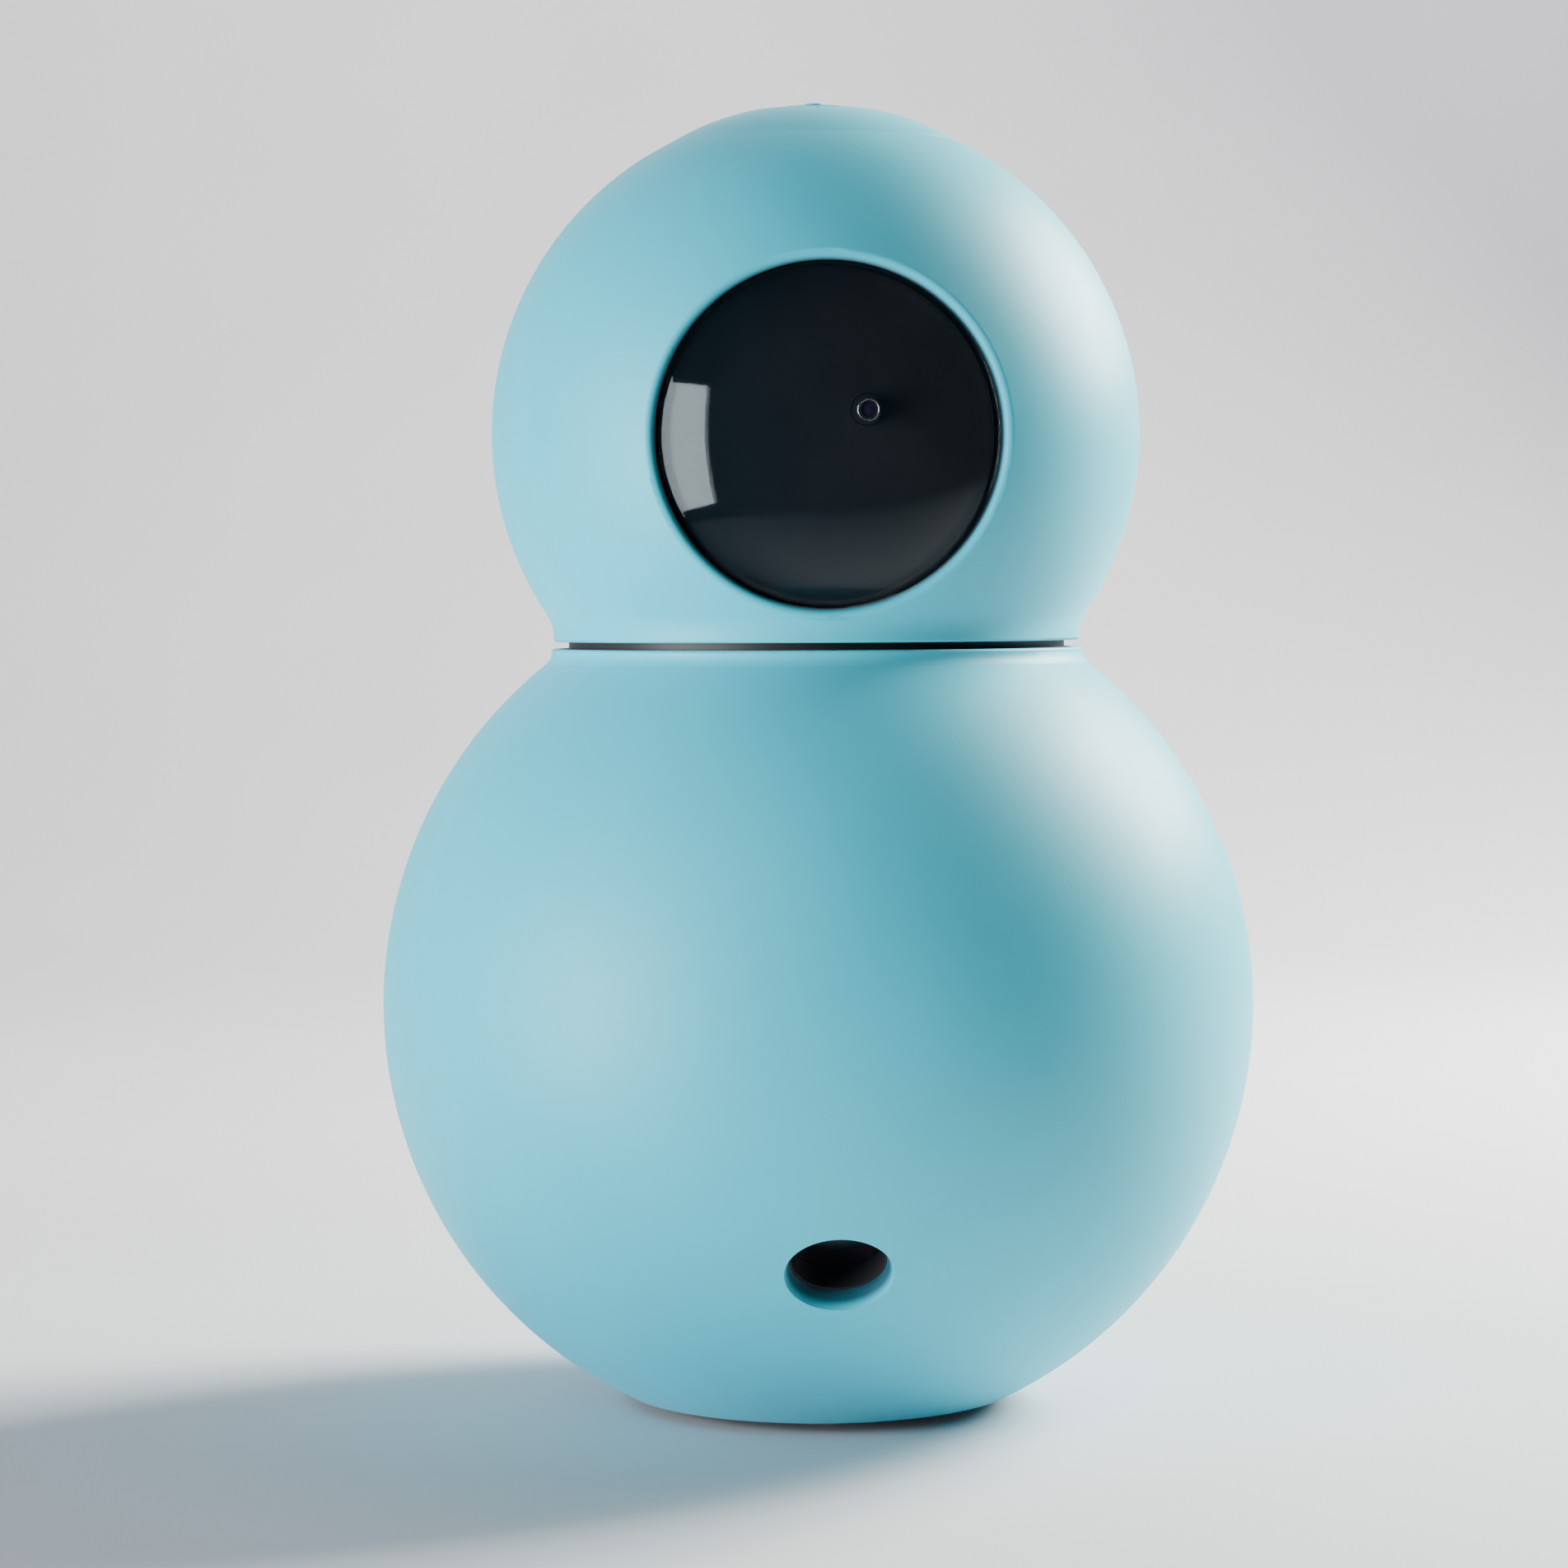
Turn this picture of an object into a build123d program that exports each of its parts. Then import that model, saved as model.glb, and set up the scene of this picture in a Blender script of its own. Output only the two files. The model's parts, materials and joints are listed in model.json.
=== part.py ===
from build123d import *
import math
import os

os.makedirs("parts", exist_ok=True)

# ---------------------------------------------------------------- dimensions
# Two stacked balls: a body ball on a hidden two-wheel drive, and a head ball
# that turns on the neck.  Front is -Y, the wheel axis is X, the floor is z=0.
GROUND = 3.0            # shell edge above the floor
WALL = 2.8              # shell wall
BODY_R = 105.4
BODY_Z = 97.0
HEAD_R = 78.2
HEAD_Z = 234.5
BODY_LIP_R = 64.2
HEAD_LIP_R = 63.6
LIP_WALL = 2.3
SEAM_LOW = 183.2        # top of the body lip
SEAM_HIGH = 184.9       # bottom of the head lip
BODY_SPLIT = 14.0       # y of the joint between front and rear body shells
HEAD_SPLIT = 10.0

FACE_TILT = 2.2         # face axis points this far below level
FACE_HOLE_R = 39.5
FACE_ROUND = 1.6        # rounding of the face opening
DOME_R = 39.2           # rim radius of the black dome
DOME_CURVE = 72.0       # radius of curvature of the dome
DOME_CROWN = 75.6       # crown distance from the head centre
DOME_WALL = 2.0
FLANGE_AT = 60.0        # seat of the dome flange, from the head centre
LENS_X = 9.2            # camera lens, right of and above the face axis
LENS_V = 5.7

CAP_R = 35.5            # control cap on top of the head
CAP_CURVE = 69.0        # the cap is a little more domed than the head
CAP_CENTRE = 10.5       # centre of its curve, above the head centre
CAP_ROUND = 0.2
CAP_GAP = 0.1
MARK_RISE = 0.35        # raised touch marks on the cap
CAP_FLANGE = 2.2        # thickness of the flange under the head wall
DISH_IN = 10.2
DISH_OUT = 17.5
DISH_FLOOR = 76.4       # under side of the dish ring, from the head centre
DISH_RISE = 0.2
BUTTON_R = 9.8
BUTTON_RISE = 0.8
NUB_R = 2.2             # tactile nub in the middle of the button
NUB_TOP = 79.7

PORT_TILT = 29.7        # front port points this far below level
PORT_A = 12.5
PORT_B = 10.2
PORT_TAPER = 1.5        # the mouth narrows by this much on each side
PORT_EDGE = 0.6         # rounding of the mouth
PORT_LEDGE = 100.9      # foot of the taper, from the body centre
PORT_SEAT = 99.4        # back of the ledge
PORT_RING = 97.4        # back of the collar round the port
PORT_COLLAR = 2.2
WINDOW_AT = 91.0
PANEL_TILT = 22.0       # rear panel points this far below level
PANEL_R = 17.0
PANEL_BACK = 97.4       # rear panel faces, from the body centre
PANEL_SEAT = 99.8
PANEL_FACE = 102.2

WHEEL_R = 25.0
WHEEL_W = 12.0
WHEEL_X = 24.0
AXLE_R = 1.5
RUN = 0.05              # running clearance
CASTER_Y = 28.0
CASTER_R = 6.0

PLATE_LOW = 6.0         # chassis plate
PLATE_HIGH = 10.0
TRAY_Z = 53.0           # middle deck
DECK_LOW = 172.0        # neck deck
DECK_HIGH = 175.0
TABLE_LOW = 190.0       # head turntable
TABLE_HIGH = 193.0

BOARD = 1.6             # thickness of the circuit boards
SPEAKER_Z = 110.0       # speaker behind the rear grille
SPEAKER_R = 21.0
GRILLE_HOLE_R = 1.3
GRILLE_STEP = 4.3
INLET_X = 7.0           # charge inlet and power button on the rear panel
POWER_X = -7.0
CELL_R = 9.2            # two cylindrical cells
CELL_LENGTH = 64.8
BALL_PATH_R = 25.0      # neck bearing
BALL_R = 2.2
RACE_LOW = 177.6
RACE_HIGH = 186.4
RACE_MID = (RACE_LOW + RACE_HIGH) / 2
GEAR_LOW = 177.8
GEAR_HIGH = 183.0
STOP_R = 54.0           # radius of the end stops of the neck

GEAR_M = 1.0
GEAR_TEETH = 72
PINION_TEETH = 18
GEAR_DIST = GEAR_M * (GEAR_TEETH + PINION_TEETH) / 2 + 0.05
BACKLASH = 0.12

SHAFT_R = 1.2           # 2.4 mm thread-forming screws
TAP_R = 1.25            # their holes in plastic
CLEAR_R = 1.6
SHELL_HEAD_R = 2.9
SINK_R = 3.2            # counterbore for the shell screws
FINE_R = 0.9            # 1.8 mm screws of the face and cap
FINE_TAP_R = 0.95
FINE_HEAD_R = 1.9
POST_R = 4.5            # screw posts in the shells
FLANGE_R = 44.6         # dome flange and its retainer
DOME_SCREW_R = 42.2


# ------------------------------------------------------------ shape helpers
def upright(radius, low, high, x=0.0, y=0.0):
    """Cylinder about Z."""
    return Pos(x, y, (low + high) / 2) * Cylinder(radius, high - low, mode=Mode.PRIVATE)


def tube(outer, inner, low, high, x=0.0, y=0.0):
    """Ring about Z."""
    return upright(outer, low, high, x, y) - upright(inner, low - 1, high + 1, x, y)


def along_x(radius, x0, x1, y=0.0, z=0.0):
    """Cylinder about X."""
    rod = Cylinder(radius, abs(x1 - x0), mode=Mode.PRIVATE)
    return Location(((x0 + x1) / 2, y, z), (0, 90, 0)) * rod


def along_y(radius, y0, y1, x=0.0, z=0.0):
    """Cylinder about Y."""
    rod = Cylinder(radius, abs(y1 - y0), mode=Mode.PRIVATE)
    return Location((x, (y0 + y1) / 2, z), (90, 0, 0)) * rod


def brick(x0, x1, y0, y1, z0, z1):
    """Box between two corners."""
    block = Box(x1 - x0, y1 - y0, z1 - z0, mode=Mode.PRIVATE)
    return Pos((x0 + x1) / 2, (y0 + y1) / 2, (z0 + z1) / 2) * block


def ball(radius, x=0.0, y=0.0, z=0.0):
    """Sphere round a point."""
    return Pos(x, y, z) * Sphere(radius, mode=Mode.PRIVATE)


def plane_bar(plane, radius, near, far, x=0.0, y=0.0):
    """Round bar along a plane's normal, between two distances."""
    rod = Cylinder(radius, far - near, mode=Mode.PRIVATE)
    return plane.offset((near + far) / 2).location * Pos(x, y) * rod


def plane_block(plane, width, height, near, far, x=0.0, y=0.0):
    """Square bar along a plane's normal, between two distances."""
    block = Box(width, height, far - near, mode=Mode.PRIVATE)
    return plane.offset((near + far) / 2).location * Pos(x, y) * block


def ball_solid(radius, centre, lip_r, lip_z, far_z, corner):
    """Ball that ends in a concave flare and a short straight lip."""
    side = 1 if lip_z > centre else -1
    rise = abs(lip_z - centre) - 0.9
    flare = (lip_r ** 2 + rise ** 2 - radius ** 2) / (2 * (radius - lip_r))
    top = math.atan2(rise, lip_r + flare)
    start = math.asin(max(-1.0, min(1.0, side * (far_z - centre) / radius)))

    def on_ball(angle):
        return (radius * math.cos(angle), centre + side * radius * math.sin(angle))

    first = on_ball(start)
    if first[0] < 0.01:
        first = (0.0, far_z)
    flare_x = (radius + flare) * math.cos(top)
    flare_z = centre + side * (radius + flare) * math.sin(top)
    bend = math.pi + top / 2
    mid = (flare_x + flare * math.cos(bend), flare_z + side * flare * math.sin(bend))
    diag = corner * (1 - math.sqrt(0.5))
    last = (0, lip_z) if corner > 0 else (0, lip_z + side * 2)
    with BuildPart() as solid:
        with BuildSketch(Plane.XZ):
            with BuildLine():
                ThreePointArc(first, on_ball((start + top) / 2), on_ball(top))
                ThreePointArc(on_ball(top), mid, (lip_r, flare_z))
                if corner > 0:
                    Line((lip_r, flare_z), (lip_r, lip_z - side * corner))
                    ThreePointArc(
                        (lip_r, lip_z - side * corner),
                        (lip_r - diag, lip_z - side * diag),
                        (lip_r - corner, lip_z),
                    )
                    Line((lip_r - corner, lip_z), last)
                else:
                    Polyline((lip_r, flare_z), (lip_r, last[1]), last)
                Line(last, (0, far_z))
                if first[0] > 0:
                    Line((0, far_z), first)
            make_face()
        revolve(axis=Axis.Z)
    return solid.part


def gear_outline(teeth, backlash, phase):
    """Points of an involute spur gear, 20 degree pressure angle."""
    pitch = GEAR_M * teeth / 2
    base = pitch * math.cos(math.radians(20))
    tip = pitch + 0.92 * GEAR_M
    root = pitch - 1.2 * GEAR_M

    def flank(radius):
        if radius <= base:
            return 0.0
        roll = math.acos(base / radius)
        return math.tan(roll) - roll

    half_pitch = math.pi / (2 * teeth) - backlash / (2 * pitch) + flank(pitch)
    low = max(base, root)
    points = []
    for number in range(teeth):
        middle = 2 * math.pi * number / teeth + math.radians(phase)
        steps = [low + (tip - low) * k / 3 for k in range(4)]
        side = [(root, half_pitch)] if root < base else []
        side += [(r, half_pitch - flank(r)) for r in steps]
        for radius, half in side:
            points.append((radius * math.cos(middle - half), radius * math.sin(middle - half)))
        for radius, half in reversed(side):
            points.append((radius * math.cos(middle + half), radius * math.sin(middle + half)))
    return points


def screw_up(x, y, z0, z1, head_z, radius, head_r):
    """Screw about Z with its head below the shaft."""
    return upright(radius, z0, z1, x, y) + upright(head_r, head_z, z0, x, y)


def ring_points(radius, count, start):
    """Evenly spaced places on a circle."""
    step = 2 * math.pi / count
    turn = math.radians(start)
    return [
        (radius * math.cos(turn + step * k), radius * math.sin(turn + step * k))
        for k in range(count)
    ]


DECK_SCREWS = ring_points(61.5, 4, 45)
BASE_SCREWS = ring_points(42.0, 4, 45)
TABLE_SCREWS = ring_points(57.0, 4, 45)

# Solid envelopes of the two balls, used to trim what is fixed to the walls.
body_outer = ball_solid(BODY_R, BODY_Z, BODY_LIP_R, SEAM_LOW, GROUND, 0.6)
body_inner = ball_solid(BODY_R - WALL, BODY_Z, BODY_LIP_R - LIP_WALL, SEAM_LOW, GROUND - 1, 0)
head_outer = ball_solid(HEAD_R, HEAD_Z, HEAD_LIP_R, SEAM_HIGH, HEAD_Z + HEAD_R, 0.6)
head_inner = ball_solid(
    HEAD_R - WALL, HEAD_Z, HEAD_LIP_R - LIP_WALL, SEAM_HIGH, HEAD_Z + HEAD_R - WALL, 0
)

# --------------------------------------------------- screw posts in the balls
BODY_POST = 96.0
BODY_POST_ANGLES = (25.0, 155.0, 215.0, -35.0)
HEAD_POST = 69.0
HEAD_POST_ANGLES = (42.0, 138.0, 198.0, -18.0)


def post_places(radius, angles, centre):
    """Places of the shell posts on a circle in the XZ plane."""
    return [
        (radius * math.cos(math.radians(a)), centre + radius * math.sin(math.radians(a)), a)
        for a in angles
    ]


def front_posts(places, split, reach):
    """Short posts with a web to the wall, for the front shell."""
    result = None
    for x, z, angle in places:
        post = along_y(POST_R, split - 12, split, x, z)
        web = Box(reach, 12, 3, mode=Mode.PRIVATE)
        web = Location((x, split - 6, z), (0, -angle, 0)) * Pos(reach / 2, 0, 0) * web
        result = post + web if result is None else result + post + web
    return result


def rear_posts(places, split):
    """Posts that run back to the wall, for the rear shell."""
    result = None
    for x, z, angle in places:
        post = along_y(POST_R, split, split + 60, x, z)
        result = post if result is None else result + post
    return result


body_posts = post_places(BODY_POST, BODY_POST_ANGLES, BODY_Z)
head_posts = post_places(HEAD_POST, HEAD_POST_ANGLES, HEAD_Z)

# Ledge that carries the neck deck, and the flange round the base opening.
body_wall = body_outer - body_inner
body_wall += tube(75, 58, DECK_LOW - 3, DECK_LOW) & body_outer
body_wall += tube(60, 38, GROUND, PLATE_LOW) & body_outer
for px, py in DECK_SCREWS:
    body_wall += upright(4.0, DECK_LOW - 12, DECK_LOW, px, py) & body_outer
    body_wall -= upright(TAP_R, DECK_LOW - 11, DECK_LOW + 1, px, py)
for px, py in BASE_SCREWS:
    body_wall -= upright(CLEAR_R, GROUND - 1, PLATE_LOW + 1, px, py)
    body_wall -= upright(3.0, GROUND - 1, GROUND + 1.6, px, py)

# ------------------------------------------------------------- front port
port_plane = Plane(
    origin=(0, 0, BODY_Z),
    x_dir=(1, 0, 0),
    z_dir=(0, -math.cos(math.radians(PORT_TILT)), -math.sin(math.radians(PORT_TILT))),
)


def port_plug(a, b, near, far):
    """Elliptical bar along the port axis, between two distances."""
    rim = Edge.make_ellipse(a, b, plane=port_plane.offset(near))
    return Solid.extrude(Face(Wire([rim])), port_plane.z_dir * (far - near))


def port_mouth():
    """Tapered cutter, from beyond the wall to the foot of the taper."""
    slope = PORT_TAPER / (BODY_R - PORT_LEDGE)
    far = BODY_R + 3
    grow = slope * 3
    near_rim = Edge.make_ellipse(
        PORT_A - PORT_TAPER, PORT_B - PORT_TAPER, plane=port_plane.offset(PORT_LEDGE)
    )
    far_rim = Edge.make_ellipse(PORT_A + grow, PORT_B + grow, plane=port_plane.offset(far))
    return Solid.make_loft([Wire([near_rim]), Wire([far_rim])], ruled=True)


with BuildPart() as body_front_shell:
    add(body_wall)
    add(front_posts(body_posts, BODY_SPLIT, 9.0) & body_outer)
    add(port_plug(PORT_A + PORT_COLLAR, PORT_B + PORT_COLLAR, PORT_RING, 104.0) & body_outer)
    add(brick(-120, 120, BODY_SPLIT, 120, -5, 200), mode=Mode.SUBTRACT)
    add(port_plug(PORT_A, PORT_B, 90, PORT_SEAT), mode=Mode.SUBTRACT)
    narrow = port_plug(PORT_A - PORT_TAPER, PORT_B - PORT_TAPER, PORT_SEAT - 1, PORT_LEDGE + 0.1)
    add(narrow, mode=Mode.SUBTRACT)
    add(port_mouth(), mode=Mode.SUBTRACT)
    mouth_at = port_plane.offset(BODY_R).origin
    fillet(body_front_shell.edges().sort_by_distance(mouth_at)[0:1], PORT_EDGE)
    for px, pz, angle in body_posts:
        add(along_y(TAP_R, BODY_SPLIT - 10.5, BODY_SPLIT + 1, px, pz), mode=Mode.SUBTRACT)
body_front_shell.part.label = "body_front_shell"
export_step(body_front_shell.part, "parts/body_front_shell.step")

with BuildPart() as port_housing:
    add(port_plug(PORT_A - 0.1, PORT_B - 0.1, PORT_RING, PORT_SEAT - 0.1))
    add(port_plug(PORT_A + PORT_COLLAR, PORT_B + PORT_COLLAR, 86.0, PORT_RING))
    add(port_plug(PORT_A - 2.0, PORT_B - 2.0, 88.0, PORT_SEAT), mode=Mode.SUBTRACT)
port_housing.part.label = "port_housing"
export_step(port_housing.part, "parts/port_housing.step")

with BuildPart() as port_window:
    add(port_plug(PORT_A - 2.0, PORT_B - 2.0, WINDOW_AT, WINDOW_AT + 1.6))
port_window.part.label = "port_window"
export_step(port_window.part, "parts/port_window.step")

with BuildPart() as port_sensor:
    add(port_plug(PORT_A - 2.3, PORT_B - 2.3, 88.0, 89.2))
    for side in (-1, 1):
        add(plane_bar(port_plane, 2.0, 89.2, 90.8, side * 4.6, 0))
port_sensor.part.label = "port_sensor"
export_step(port_sensor.part, "parts/port_sensor.step")

# ---------------------------------------------------------- rear body shell
panel_plane = Plane(
    origin=(0, 0, BODY_Z),
    x_dir=(-1, 0, 0),
    z_dir=(0, math.cos(math.radians(PANEL_TILT)), -math.sin(math.radians(PANEL_TILT))),
)


def panel_disc(radius, near, far, x=0.0, y=0.0):
    """Round bar along the rear panel axis."""
    return plane_bar(panel_plane, radius, near, far, x, y)


def panel_slot(length, height, near, far, x=0.0, y=0.0):
    """Round-ended bar along the rear panel axis."""
    reach = (length - height) / 2
    slot = plane_block(panel_plane, 2 * reach, height, near, far, x, y)
    slot += plane_bar(panel_plane, height / 2, near, far, x - reach, y)
    return slot + plane_bar(panel_plane, height / 2, near, far, x + reach, y)


def grille_places():
    """Rings of sound holes."""
    places = [(0.0, 0.0)]
    for ring in range(1, 5):
        places += ring_points(GRILLE_STEP * ring, 6 * ring, 0)
    return places


with BuildPart() as body_rear_shell:
    add(body_wall)
    add(rear_posts(body_posts, BODY_SPLIT) & body_outer)
    add(along_y(SPEAKER_R + 3, 94.5, 104, 0, SPEAKER_Z) & body_outer)
    add(along_y(SPEAKER_R - 1, 80, 99.5, 0, SPEAKER_Z), mode=Mode.SUBTRACT)
    add(brick(-120, 120, -120, BODY_SPLIT, -5, 200), mode=Mode.SUBTRACT)
    add(panel_disc(PANEL_R, 90, 112), mode=Mode.SUBTRACT)
    for px, pz, angle in body_posts:
        add(along_y(CLEAR_R, BODY_SPLIT - 1, BODY_SPLIT + 8, px, pz), mode=Mode.SUBTRACT)
        add(along_y(SINK_R, BODY_SPLIT + 6, BODY_SPLIT + 70, px, pz), mode=Mode.SUBTRACT)
    for gx, gz in grille_places():
        add(along_y(GRILLE_HOLE_R, 80, 120, gx, SPEAKER_Z + gz), mode=Mode.SUBTRACT)
body_rear_shell.part.label = "body_rear_shell"
export_step(body_rear_shell.part, "parts/body_rear_shell.step")

with BuildPart() as body_shell_screws:
    for px, pz, angle in body_posts:
        add(along_y(SHAFT_R, BODY_SPLIT - 9, BODY_SPLIT + 6, px, pz))
        add(along_y(SHELL_HEAD_R, BODY_SPLIT + 6, BODY_SPLIT + 8.2, px, pz))
        add(along_y(1.3, BODY_SPLIT + 7.2, BODY_SPLIT + 9, px, pz), mode=Mode.SUBTRACT)
body_shell_screws.part.label = "body_shell_screws"
export_step(body_shell_screws.part, "parts/body_shell_screws.step")

# ------------------------------------------- speaker behind the rear grille
with BuildPart() as speaker_frame:
    add(along_y(SPEAKER_R + 2.8, 91.5, 94.5, 0, SPEAKER_Z))
    add(along_y(SPEAKER_R, 84.0, 92.0, 0, SPEAKER_Z))
    add(along_y(SPEAKER_R - 9, 76.0, 84.5, 0, SPEAKER_Z))
    add(along_y(SPEAKER_R - 2, 86.0, 97.0, 0, SPEAKER_Z), mode=Mode.SUBTRACT)
speaker_frame.part.label = "speaker_frame"
export_step(speaker_frame.part, "parts/speaker_frame.step")

cone_plane = Plane(origin=(0, 87.5, SPEAKER_Z), x_dir=(1, 0, 0), z_dir=(0, 0, 1))
with BuildPart() as speaker_cone:
    with BuildSketch(cone_plane):
        with BuildLine():
            Polyline(
                (0, 0.5), (6, 0.5), (SPEAKER_R - 3, 3.6), (SPEAKER_R - 2.0, 3.6),
                (SPEAKER_R - 2.0, 4.8), (SPEAKER_R - 3.4, 4.8), (6, 1.7), (0, 3.4), (0, 0.5),
            )
        make_face()
    revolve(axis=Axis((0, 87.5, SPEAKER_Z), (0, 1, 0)))
speaker_cone.part.label = "speaker_cone"
export_step(speaker_cone.part, "parts/speaker_cone.step")

# ---------------------------------- rear panel: charge inlet, power button
with BuildPart() as rear_panel:
    add(panel_disc(PANEL_R - 0.15, PANEL_SEAT, PANEL_FACE))
    add(panel_disc(PANEL_R + 2.6, PANEL_BACK, PANEL_SEAT))
    add(panel_disc(PANEL_R - 2.0, PANEL_BACK - 1, PANEL_SEAT), mode=Mode.SUBTRACT)
    add(panel_slot(9.4, 3.7, 96, 104, INLET_X, 0), mode=Mode.SUBTRACT)
    add(panel_disc(4.6, 96, 104, POWER_X, 0), mode=Mode.SUBTRACT)
rear_panel.part.label = "rear_panel"
export_step(rear_panel.part, "parts/rear_panel.step")

with BuildPart() as charge_inlet:
    add(panel_slot(9.2, 3.5, 94.0, 101.6, INLET_X, 0))
    add(panel_slot(8.6, 2.9, 95.0, 103.0, INLET_X, 0), mode=Mode.SUBTRACT)
    add(plane_block(panel_plane, 6.6, 0.7, 94.6, 100.8, INLET_X, 0))
charge_inlet.part.label = "charge_inlet"
export_step(charge_inlet.part, "parts/charge_inlet.step")

with BuildPart() as power_board:
    add(plane_block(panel_plane, 28.6, 14, 94.0 - BOARD, 94.0))
    for side in (-1, 1):
        add(plane_block(panel_plane, 2.0, 5, 94.0, 99.8, side * 13.5, 0))
    add(plane_block(panel_plane, 5.2, 5.2, 94.0, 96.2, POWER_X, 0))
power_board.part.label = "power_board"
export_step(power_board.part, "parts/power_board.step")

with BuildPart() as power_button:
    add(panel_disc(4.3, 99.0, 103.0, POWER_X, 0))
    add(panel_disc(5.1, 98.4, 99.7, POWER_X, 0))
    add(panel_disc(1.6, 97.5, 99.0, POWER_X, 0))
    ring = panel_disc(2.4, 102.6, 104, POWER_X, 0) - panel_disc(1.8, 102, 105, POWER_X, 0)
    add(ring, mode=Mode.SUBTRACT)
power_button.part.label = "power_button"
export_step(power_button.part, "parts/power_button.step")

# ------------------------------------------------------------ chassis plate
POSTS = [(sx * 14.0, sy * 36.0) for sx in (-1, 1) for sy in (-1, 1)]
MOTOR_X0 = WHEEL_X + WHEEL_W / 2 + 5.0
MOTOR_X1 = MOTOR_X0 + 25.0

with BuildPart() as chassis_plate:
    add(upright(46.5, PLATE_LOW, PLATE_HIGH))
    for side in (-1, 1):
        slot = brick(WHEEL_X - 8, WHEEL_X + 8, -27.5, 27.5, 0, 20)
        add(slot if side > 0 else slot.mirror(Plane.YZ), mode=Mode.SUBTRACT)
        add(upright(8.6, GROUND + 0.4, PLATE_HIGH + 4, 0, side * CASTER_Y))
        add(ball(CASTER_R + RUN, 0, side * CASTER_Y, CASTER_R), mode=Mode.SUBTRACT)
        mouth = upright(CASTER_R - 0.75, 0, GROUND + 1, 0, side * CASTER_Y)
        add(mouth, mode=Mode.SUBTRACT)
    for px, py in POSTS:
        add(upright(TAP_R, 0, 20, px, py), mode=Mode.SUBTRACT)
    for px, py in BASE_SCREWS:
        add(upright(3.2, PLATE_HIGH, PLATE_HIGH + 4, px, py))
        add(upright(TAP_R, 0, PLATE_HIGH + 3, px, py), mode=Mode.SUBTRACT)
chassis_plate.part.label = "chassis_plate"
export_step(chassis_plate.part, "parts/chassis_plate.step")

with BuildPart() as base_screws:
    for px, py in BASE_SCREWS:
        add(screw_up(px, py, GROUND + 1.6, PLATE_HIGH + 2.4, GROUND + 0.2, SHAFT_R, 2.8))
        add(upright(SHAFT_R, GROUND - 1, GROUND + 0.9, px, py), mode=Mode.SUBTRACT)
base_screws.part.label = "base_screws"
export_step(base_screws.part, "parts/base_screws.step")

with BuildPart() as charge_contacts:
    for side in (-1, 1):
        add(upright(2.5, PLATE_LOW - 1.2, PLATE_LOW, side * 13.0, 33.0))
charge_contacts.part.label = "charge_contacts"
export_step(charge_contacts.part, "parts/charge_contacts.step")

with BuildPart() as caster_ball_front:
    add(ball(CASTER_R, 0, -CASTER_Y, CASTER_R))
caster_ball_front.part.label = "caster_ball_front"
export_step(caster_ball_front.part, "parts/caster_ball_front.step")

with BuildPart() as caster_ball_rear:
    add(ball(CASTER_R, 0, CASTER_Y, CASTER_R))
caster_ball_rear.part.label = "caster_ball_rear"
export_step(caster_ball_rear.part, "parts/caster_ball_rear.step")

# ------------------------------------------------------------- wheel drive
with BuildPart() as axle_block:
    add(brick(-12, 12, -8, 8, PLATE_HIGH, WHEEL_R + 6))
    add(along_x(AXLE_R + RUN, -11, -3, 0, WHEEL_R), mode=Mode.SUBTRACT)
    add(along_x(AXLE_R + RUN, 3, 11, 0, WHEEL_R), mode=Mode.SUBTRACT)
    add(along_x(AXLE_R + RUN, -20, -10, 0, WHEEL_R), mode=Mode.SUBTRACT)
    add(along_x(AXLE_R + RUN, 10, 20, 0, WHEEL_R), mode=Mode.SUBTRACT)
axle_block.part.label = "axle_block"
export_step(axle_block.part, "parts/axle_block.step")


def wheel_hub(side):
    """Hub with a rim, a web with round holes, and a boss on the axle."""
    low = side * (WHEEL_X - WHEEL_W / 2)
    high = side * (WHEEL_X + WHEEL_W / 2)
    middle = side * WHEEL_X
    hub = along_x(WHEEL_R - 5, low, high, 0, WHEEL_R)
    hub -= along_x(WHEEL_R - 8, low - side, middle - side * 1.5, 0, WHEEL_R)
    hub -= along_x(WHEEL_R - 8, middle + side * 1.5, high + side, 0, WHEEL_R)
    hub += along_x(4.5, low, high, 0, WHEEL_R)
    for hy, hz in ring_points(10.7, 6, 0):
        hub -= along_x(3.2, low - side, high + side, hy, WHEEL_R + hz)
    return hub - along_x(AXLE_R, low - side, high + side, 0, WHEEL_R)


def wheel_tyre(side):
    """Soft tyre with shallow cross grooves."""
    low = side * (WHEEL_X - WHEEL_W / 2)
    high = side * (WHEEL_X + WHEEL_W / 2)
    tyre = along_x(WHEEL_R, low, high, 0, WHEEL_R)
    tyre -= along_x(WHEEL_R - 5, low - side, high + side, 0, WHEEL_R)
    for count in range(24):
        turn = Location((side * WHEEL_X, 0, WHEEL_R), (7.5 + count * 15, 0, 0))
        groove = Box(WHEEL_W + 2, 1.2, 1.6, mode=Mode.PRIVATE)
        tyre -= turn * Pos(0, 0, WHEEL_R) * groove
    return tyre


def wheel_axle(side):
    """Output shaft from the gearbox to the middle bearing."""
    return along_x(AXLE_R, side * 3.4, side * (MOTOR_X0 + 5.6), 0, WHEEL_R)


with BuildPart() as wheel_left_hub:
    add(wheel_hub(-1))
wheel_left_hub.part.label = "wheel_left_hub"
export_step(wheel_left_hub.part, "parts/wheel_left_hub.step")

with BuildPart() as wheel_left_tyre:
    add(wheel_tyre(-1))
wheel_left_tyre.part.label = "wheel_left_tyre"
export_step(wheel_left_tyre.part, "parts/wheel_left_tyre.step")

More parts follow.
